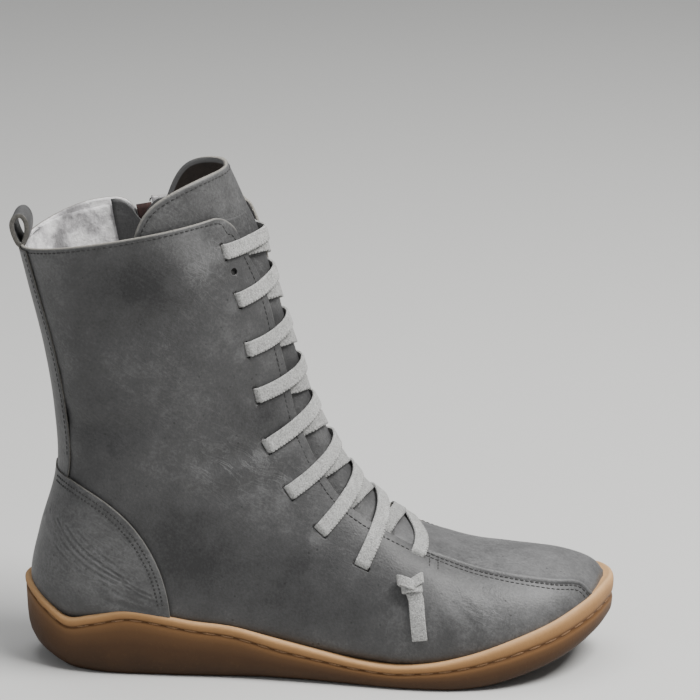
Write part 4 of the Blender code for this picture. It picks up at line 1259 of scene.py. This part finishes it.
def makeLining():
    for name, look, where, finish, slot in (
        ("lining", liningLook, liningSpot, fleece, "felt"),
        ("zipGuard", guardLook, guardSpot, leather, "leather"),
    ):
        piece = finishPiece(name, gridMesh(look["rows"], look["columns"], where), [finish])
        thicken(piece, look["thick"])


makeLining()

# the insole, on the sole's floor
floorTop = (
    (-45, 23.5), (-20, 21.2), (0, 20), (40, 18.8), (75, 16.2), (100, 13.2), (125, 10.9), (145, 10),
    (170, 11), (190, 13), (208, 16.8), (221, 21.8), (230, 26.3), (245, 33),
)
insoleLook = {
    "rows": 26, "columns": 110, "thick": 4.4, "crown": 0.8, "first": -24.5, "last": 226.5, "inset": 3.2,
}


def insoleSides():
    xs = np.linspace(insoleLook["first"], insoleLook["last"], 60)
    level = along(floorTop, xs) + 3.0
    sides = []
    for side in (-1, 1):
        points = formPoints[0 if side < 0 else 1].reshape(-1, 3)
        reach = []
        for x, z in zip(xs, level):
            near = points[np.argsort((points[:, 0] - x) ** 2 + (points[:, 2] - z) ** 2)[:6]]
            reach.append(max(abs(near[:, 1].mean()) - insoleLook["inset"], 1.0) * side)
        sides.append(np.convolve(np.pad(reach, 2, mode="edge"), np.ones(5) / 5, mode="valid"))
    return xs, sides


def insoleSpot(u, v):
    xs, sides = insoleSides()
    x = insoleLook["first"] + (insoleLook["last"] - insoleLook["first"]) * (0.5 - 0.5 * np.cos(u * math.pi))
    y = np.interp(x, xs, sides[0]) * (1 - v) + np.interp(x, xs, sides[1]) * v
    z = along(floorTop, x) + 0.35 + insoleLook["thick"] - insoleLook["crown"] * (2 * v - 1) ** 4
    facing = np.tile([0.0, 0.0, 1.0], (len(x), 1))
    return np.stack([x, y, z], axis=1), facing, {}


def makeInsole():
    insole = finishPiece(
        "feltInsole", gridMesh(insoleLook["rows"], insoleLook["columns"], insoleSpot), [felt],
    )
    thicken(insole, insoleLook["thick"] - 0.9)
    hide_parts("insole")


makeInsole()
print("lining and insole set in")

# the sole: rim bead, stitched groove and side, drawn round the outline
rimOuter = (
    (-38, 0), (-34, -13.5), (-23.5, -24), (-4, -30.5), (25, -33.5), (65, -35.8), (105, -41),
    (140, -47), (165, -48.5), (190, -45), (212, -35.5), (228, -20), (236, -5), (238.3, 6),
)
rimInner = (
    (-38, 0), (-34, 13), (-23.5, 23.5), (-4, 30), (25, 32), (55, 30.5), (85, 30.5), (112, 34.5),
    (140, 41.5), (165, 45), (190, 44), (211, 39.5), (227, 29.5), (235.5, 17), (238.3, 6),
)
rimTop = (
    (-38, 39.5), (-27.5, 33.5), (-17, 27), (-5, 29), (12, 32.5), (28, 30.5), (42, 28), (60, 26),
    (80, 21.2), (100, 16.6), (120, 12.6), (135, 11.6), (150, 13), (170, 17.5), (190, 24),
    (210, 30.5), (225, 36), (238, 40),
)
treadLow = (
    (-36, 9), (-28, 5), (-20, 1.8), (-12, 0), (-8, 0), (40, 0), (158, 0), (166, 0.3), (176, 1.4),
    (188, 3.6), (200, 6.6), (211, 10), (220, 14), (230, 20), (240, 27),
)
treadTuck = (
    (-36, 13), (-24, 9.5), (-5, 5), (30, 4.2), (100, 5), (140, 3.5), (190, 4.5), (212, 7), (238, 10),
)
archRise = ((40, 0), (55, 1.6), (80, 5.5), (100, 2.6), (114, 0))
beadShare = ((-40, 0.74), (50, 0.76), (130, 1.0), (180, 1.1), (240, 1.55))
# from the foot bed over the bead to the ledge: how far in, how far below the rim
rimProfile = (
    (9.0, 0.9), (5.0, 0.75), (3.0, 0.5), (2.2, 0.12), (1.5, 0.0), (0.75, 0.35), (0.2, 1.05), (0.0, 2.0),
    (0.05, 3.3), (0.2, 4.5), (0.45, 5.3), (0.8, 5.8), (1.0, 6.3), (0.95, 6.7), (0.65, 7.05), (0.45, 7.5),
)
# below the ledge: share of the tuck, share of the height left above the tread
sideProfile = (
    (0.04, 0.93), (0.05, 0.78), (0.065, 0.62), (0.10, 0.45), (0.17, 0.32), (0.32, 0.18), (0.6, 0.07),
    (0.85, 0.015), (1.0, 0.0),
)
soleLook = {
    "steps": 280, "fullSide": 20.0, "leastScale": 0.62, "groove": 12, "sideDrop": 7.7, "sideShadeSpan": 16.0,
    "stitch": (8.6, 6.6, 1.1, 0.9),
}


def soleOutline():
    ring = rimOuter + rimInner[-2:0:-1]
    wrapped = ring[-2:] + ring + ring[:3]
    fine = spline(wrapped, np.linspace(2, 2 + len(ring), 50 * len(ring)))
    rim = spaced(fine, np.linalg.norm(np.diff(fine, axis=0), axis=1).sum() / soleLook["steps"])[:-1]
    ahead = np.roll(rim, -1, axis=0) - np.roll(rim, 1, axis=0)
    return rim, unit(np.stack([-ahead[:, 1], ahead[:, 0]], axis=1))


def soleRings():
    rim, inward = soleOutline()
    top = along(rimTop, rim[:, 0])
    tuck = along(treadTuck, rim[:, 0])
    tread = rim + inward * tuck[:, None]
    share = np.clip(0.42 + tread[:, 1] / 60, 0.08, 1.0)
    low = along(treadLow, tread[:, 0]) + share * along(archRise, tread[:, 0])
    scale = np.clip((top - low) / soleLook["fullSide"], soleLook["leastScale"], 1.0)
    scale = scale * along(beadShare, rim[:, 0])
    rings, drops = [], []
    for inset, drop in rimProfile:
        rings.append(np.column_stack([rim + inward * inset, top - drop * scale]))
        drops.append(drop)
    ledge = top - rimProfile[-1][1] * scale
    for part, height in sideProfile:
        at = rim + inward * (tuck * part)[:, None]
        rings.append(np.column_stack([at, low + (ledge - low) * height]))
        # down the side the drop keeps growing, so the colour darkens towards the ground: painted shade
        drops.append(soleLook["sideDrop"] + (1 - height) * soleLook["sideShadeSpan"])
    return inward, np.array(rings), np.array(drops)


def makeSole():
    inward, rings, drops = soleRings()
    count = len(inward)

    def where(u, v):
        i = np.rint(v * (len(rings) - 1)).astype(int)
        j = np.rint(u * count).astype(int) % count
        return rings[i, j], None, {"drop": drops[i]}

    bm = gridMesh(len(rings) - 1, count, where)
    bmesh.ops.remove_doubles(bm, verts=bm.verts, dist=1e-7)
    lids = bmesh.ops.holes_fill(bm, edges=[e for e in bm.edges if e.is_boundary], sides=0)
    bmesh.ops.triangulate(bm, faces=lids["faces"])
    bmesh.ops.recalc_face_normals(bm, faces=bm.faces)
    sole = finishPiece("gumSole", bm, [gum])
    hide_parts("outsole")
    around = np.append(np.arange(count), 0)
    normals = unit(np.column_stack([-inward, np.full(count, 0.25)]))[around]
    groove = rings[soleLook["groove"]][around]
    bm = bmesh.new()
    stitchRow(bm, groove + normals * 0.15, normals, *soleLook["stitch"])
    finishPiece("soleStitches", bm, [gumThread])


makeSole()
print("sole moulded")

# the lace: a flat elastic band that zigzags up, under each facing edge and out of the next slot
laceLook = {
    "width": 7.0, "thick": 1.3, "ease": 0.42, "steps": 190, "low": 0.25, "over": 0.75, "beneath": -0.5,
    "under": -2.75, "bow": 0.13, "scallop": 0.30, "pitch": 1.55, "tuck": 5.0,
}


# the lower edge is scalloped, with dark notches
def laceProfile(count, length, side):
    base = strapProfile(laceLook["width"], 0.0, laceLook["thick"], laceLook["ease"])
    inset = laceLook["width"] / 2 - 1.0
    above = [(inset, laceLook["thick"]), (-inset, laceLook["thick"])]
    base = np.vstack([base[:4], above, base[4:12], [(-inset, 0.0), (inset, 0.0)], base[12:]])
    profile = np.repeat(base[None], count, axis=0)
    wave = np.abs(np.sin(np.linspace(0, length / laceLook["pitch"] * math.pi, count)))
    edge = base[:, 0] * side > laceLook["width"] / 2 - 0.6
    profile[:, edge, 0] += side * laceLook["scallop"] * (wave[:, None] - 0.6)
    notches = np.zeros(profile.shape[:2])
    notches[:, edge] = -0.55 * (1 - wave[:, None]) ** 2
    return profile, notches


def strapMesh(start, end, middle, tone):
    steps = laceLook["steps"]
    s, w = taut(start, end, steps)
    s = s - laceLook["bow"] * np.sin(math.pi * np.clip(np.linspace(0, 1, steps + 1) / 0.62, 0, 1))
    direction = np.sign(end[1] - start[1])
    kept = direction * w < edgeOf(s, direction) + laceLook["tuck"]
    s, w = s[kept], w[kept]
    fromSlot = np.abs(w - start[1])
    pastEdge = fromSlot - (abs(start[1]) - edgeOf(s, start[1]))
    toEdge = edgeOf(s, direction) - direction * w
    rest = laceLook["low"] + (middle - laceLook["low"]) * eased(pastEdge / 7.0)
    rise = eased(fromSlot / 2.0) * eased((toEdge + 1.0) / 10.0)
    height = laceLook["under"] + (rest - laceLook["under"]) * rise
    points, normals = onForm(s, w, height[:, None])
    length = np.linalg.norm(np.diff(points, axis=0), axis=1).sum()
    profile, notches = laceProfile(len(points), length, -direction)
    return bandMesh(points, normals, profile, values={"tone": tone + notches})


def makeLace():
    climb = []
    for outerPlace, innerPlace in zip(outerPlaces[::-1], innerPlaces[::-1]):
        climb += [innerPlace, outerPlace]
    climb.append(knotPlaces["medial"])
    parts = []
    for start, end in zip(climb, climb[1:]):
        begin = (start[0], start[1] + math.copysign(0.3, start[1]))
        # the straps that run beneath are painted darker as painted shade, the ones over a little lighter
        level, tone = ("over", 0.03) if start[1] < 0 else ("beneath", -0.06)
        parts.append(strapMesh(begin, end, laceLook[level], tone))
    low, far = (float(edgeOf(row, side)) + laceLook["tuck"] for row, side in ((6.4, -1), (6.8, 1)))
    parts.append(strapMesh((6.1, -low), (6.8, far), laceLook["beneath"], 0.0))
    lace = finishPiece("laceStraps", joined(parts), [elastic])
    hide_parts("lace_crossings")


makeLace()

# the lace's ends: from under the facing, out of the round hole, through the knot to a cut end
endLook = {
    "lateral": {"from": (6.4, -22.0), "tail": ((145.6, 42.5), (147.6, 24.5)), "side": -1, "base": 1.3},
    "medial": {"from": (18.2, 15.5), "tail": ((51.4, 196.2), (56.4, 186.2)), "side": 1, "base": 2.2},
}
# each turn of a knot: how far down and aside, half width, half height, slant, height of its middle
knotWraps = (
    (0.9, 0.4, 4.6, 2.3, 0.05, 3.0), (-1.4, -1.6, 4.4, 2.6, 0.5, 3.3), (-1.8, 2.4, 3.6, 2.0, -0.5, 3.0),
)


def makeEnd(name, look):
    hole = knotPlaces[name]
    inside, insideFacing = onForm(*taut(look["from"], hole, 16), np.linspace(-2.6, -2.4, 17)[:, None])
    first, last = (place(x, z, look["side"]) for x, z in look["tail"])
    heights = np.linspace(look["base"] + 0.9, look["base"], 17)[:, None]
    outside, outsideFacing = onForm(*taut(first, last, 16), heights)
    p, n = skin(*hole), outward(*hole)
    rise = np.array([p - n * 0.6, p + n * 1.6, p * 0.5 + outside[0] * 0.5 + n * 2.2])
    line = spaced(np.vstack([inside[:-1], rise, outside]), 0.8)
    normals = np.vstack([insideFacing[:-1], np.repeat(n[None], 3, axis=0), outsideFacing])
    run, known = np.linspace(0, 1, len(line)), np.linspace(0, 1, len(normals))
    facing = unit(np.stack([np.interp(run, known, normals[:, k]) for k in range(3)], axis=1))
    half = laceLook["thick"] / 2
    profile = strapProfile(laceLook["width"], -half, half, laceLook["ease"])
    bm = bandMesh(line, facing, profile, values={"tone": np.full(len(line), 0.02)})
    band = finishPiece(name + "LaceEnd", bm, [elastic])
    knot = makeKnot(name, hole, outside)
    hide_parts("lace_end_" + name)
    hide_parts("lace_knot_" + name)


# the band wraps round its own end: one turn across it and one slanting over
def makeKnot(name, hole, outside):
    p, n = skin(*hole), outward(*hole)
    down = unit(outside[-1] - outside[0])
    across = np.cross(n, down)
    turn = np.linspace(0, math.tau, 41)[:-1]
    parts = []
    for shift, aside, wide, high, slant, rise in knotWraps:
        ring = (
            p + n * rise + down * shift + across * aside + np.outer(np.cos(turn), across) * wide
            + np.outer(np.sin(turn), n) * high + np.outer(np.cos(turn), down) * wide * slant
        )
        out = unit(np.outer(np.cos(turn), across) / wide + np.outer(np.sin(turn), n) / high)
        tone = {"tone": np.full(len(turn) + 1, 0.03)}
        parts.append(bandMesh(ring, out, strapProfile(4.6, -0.6, 0.6, 0.4), closed=True, values=tone))
    return finishPiece(name + "LaceKnot", joined(parts), [elastic])


for endName, endShape in endLook.items():
    makeEnd(endName, endShape)
print("lace threaded")

# the zip: tape, teeth, slider and its hinged pull
zipLook = {
    "tape": 7.3, "low": -2.1, "high": -0.8, "toothPitch": 1.9, "tooth": (2.3, 1.25, 1.1),
    "share": 0.075, "pin": 2.95, "pull": (26.0, 5.2, 1.0),
}


def sliderAxes():
    points, normals = zipPoints(zipLook["share"] - 0.03, zipLook["share"] + 0.03, 3)
    down = unit(points[2] - points[0])
    out = unit(normals[1] - down * np.dot(normals[1], down))
    return points[1], down, np.cross(out, down), out


def makeZip():
    profile = strapProfile(zipLook["tape"], zipLook["low"], zipLook["high"], 0.3)
    bm = bandMesh(*zipPoints(0.012, 0.994, 60), profile)
    tape = finishPiece("zipTape", bm, [zipCloth])
    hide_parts("zip_tape")
    points, normals = zipPoints(0.02, 0.985, 200)
    line = spaced(np.hstack([points, normals]), zipLook["toothPitch"] / 2)
    forward = unit(np.gradient(line[:, :3], axis=0))
    halves = [size / 2 for size in zipLook["tooth"]]
    bm = bmesh.new()
    for k, (spot, ahead) in enumerate(zip(line, forward)):
        n = unit(spot[3:])
        across = np.cross(n, ahead)
        centre = spot[:3] + across * (0.75 if k % 2 else -0.75) - n * 0.45
        matrix = axesMatrix(centre, (across, ahead, n), halves)
        bmesh.ops.create_uvsphere(bm, u_segments=8, v_segments=5, radius=1.0, matrix=matrix)
    finishPiece("zipTeeth", bm, [zipTeeth])


def makeSlider():
    at, down, across, out = sliderAxes()
    axes = (down, across, out)

    def spot(d, a, o):
        return at + down * d + across * a + out * o

    bm = bmesh.new()
    block(bm, (10.0, 7.8, 1.5), spot(0, 0, 1.3), axes, 0.55)
    block(bm, (2.2, 6.2, 0.8), spot(-4.0, 0, 2.1), axes, 0.3)
    for foot in (-3.0, 3.0):
        block(bm, (1.2, 1.6, 2.4), spot(foot, 0, 3.0), axes, 0.25)
    block(bm, (7.2, 1.6, 1.0), spot(0, 0, 4.3), axes, 0.35)
    slider = finishPiece("zipSlider", bm, [zipMetal])
    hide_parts("zip_slider")
    long, wide, thick = zipLook["pull"]
    pin = zipLook["pin"]
    bm = bmesh.new()
    block(bm, (0.9, wide, thick), spot(0, 0, pin), axes, 0.25)
    for side in (-1, 1):
        block(bm, (6.4, 1.3, thick), spot(2.9, side * 1.95, pin), axes, 0.25)
    block(bm, (long - 5.6, wide, thick), spot((long + 5.6) / 2, 0, pin), axes, 0.35)
    block(bm, (long - 9.5, wide - 2.2, thick + 0.3), spot((long + 5.8) / 2, 0, pin), axes, 0.15)
    pull = finishPiece("zipPull", bm, [zipMetal], "pull")
    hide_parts("zip_pull")


makeZip()
makeSlider()
print("zip closed")

# pitch, length, width and height of each kind of thread
stitchSizes = {
    "plain": (2.5, 2.0, 0.75, 0.55), "seam": (2.4, 2.0, 1.1, 0.6), "fine": (2.4, 2.0, 0.5, 0.6),
    "tack": (1.8, 1.5, 0.6, 0.5), "counter": (2.0, 1.4, 1.1, 0.8),
}


def makeStitches():
    dark, grey = bmesh.new(), bmesh.new()
    plain = stitchSizes["plain"]
    for side in (-1, 1):
        s, w = facingPath(side)
        away = 3.8 - 1.8 * eased((np.arange(len(s)) - 88) / 14)
        stitchRow(dark, *onForm(*beside(s, w, -side * away), 0.05), *plain)
        for away, last, kind in ((0.6, 56, "seam"), (2.9, 54, "fine")):
            s, w = beside(*seamPath(side), side * away)
            stitchRow(dark, *onForm(s[:last], w[:last], 0.08), *stitchSizes[kind])
        for row in (5.62, 5.80):
            w = side * (float(edgeOf(row, side)) + np.linspace(1.5, 8.5, 8))
            stitchRow(dark, *onForm(np.full(8, row), w, 0.08), *stitchSizes["tack"])
        rim = counterEdges[side][1:-1]
        fine = spline(rim, np.linspace(0, len(rim) - 1, 120))
        for away in (2.6, 4.9):
            s, w = beside(fine[:, 0], fine[:, 1], -side * away)
            stitchRow(dark, *onForm(s[6:], w[6:], counterLook["height"] + 0.03), *stitchSizes["counter"])
        s = np.linspace(15.2, 18.8, 60)
        w = side * (halfLength(s, side) - stripHalf(s) + 2.2)
        stitchRow(dark, *onForm(s, w, stripLook["height"] + 0.02), *plain)
    points, normals = zipPoints(0.02, 1.0, 120)
    across = unit(np.cross(normals, np.gradient(points, axis=0)))
    for away in (7.0, 9.6, -7.0):
        stitchRow(grey, points + across * away + normals * 0.05, normals, *plain)
    rim, facing = tongueRim(2.4)
    stitchRow(dark, rim + facing * 0.05, facing, *plain)
    # a dark square behind the spare hole: painted shade seen through it
    centre, *axes = axesAt(*sparePlace)
    block(dark, (7.0, 7.0, 0.3), centre - axes[2] * 1.45, axes, 0.1)
    finishPiece("darkStitchesAndHoleShade", dark, [darkThread])
    finishPiece("greyStitches", grey, [greyThread])


makeStitches()
print("seams sewn")


# a pale floor and soft studio light
def addLight(name, spot, aim, size, power, colour):
    lamp = bpy.data.lights.new(name, "AREA")
    lamp.shape = "RECTANGLE"
    lamp.size, lamp.size_y = size
    lamp.energy = power
    lamp.color = colour
    light = addObject(name, lamp)
    light.location = spot
    light.rotation_euler = (Vector(aim) - Vector(spot)).to_track_quat("-Z", "Y").to_euler()


def makeStage():
    bm = bmesh.new()
    bmesh.ops.create_grid(bm, x_segments=2, y_segments=2, size=6.0)
    pale = Finish("paleFloor").shade(colour=(0.62, 0.62, 0.61), rough=0.7)
    floor = addObject("floor", meshOf("floor", bm, [pale]))
    world = bpy.data.worlds.new("studio")
    world.use_nodes = True
    backdrop = world.node_tree.nodes["Background"].inputs
    backdrop["Color"].default_value = (0.75, 0.76, 0.77, 1)
    backdrop["Strength"].default_value = 0.30
    bpy.context.scene.world = world
    addLight("keyLight", (0.95, -0.35, 1.6), (0.12, 0, 0.1), (0.8, 0.8), 52, (1, 0.99, 0.97))
    addLight("topLight", (0.1, 0.25, 1.7), (0.1, 0, 0.1), (1.2, 1.2), 14, (1, 1, 1))
    addLight("fillLight", (-1.1, -1.3, 0.9), (0.1, 0, 0.1), (1.2, 1.2), 5, (0.97, 0.98, 1))


makeStage()
bpy.context.view_layer.update()
print("stage lit")
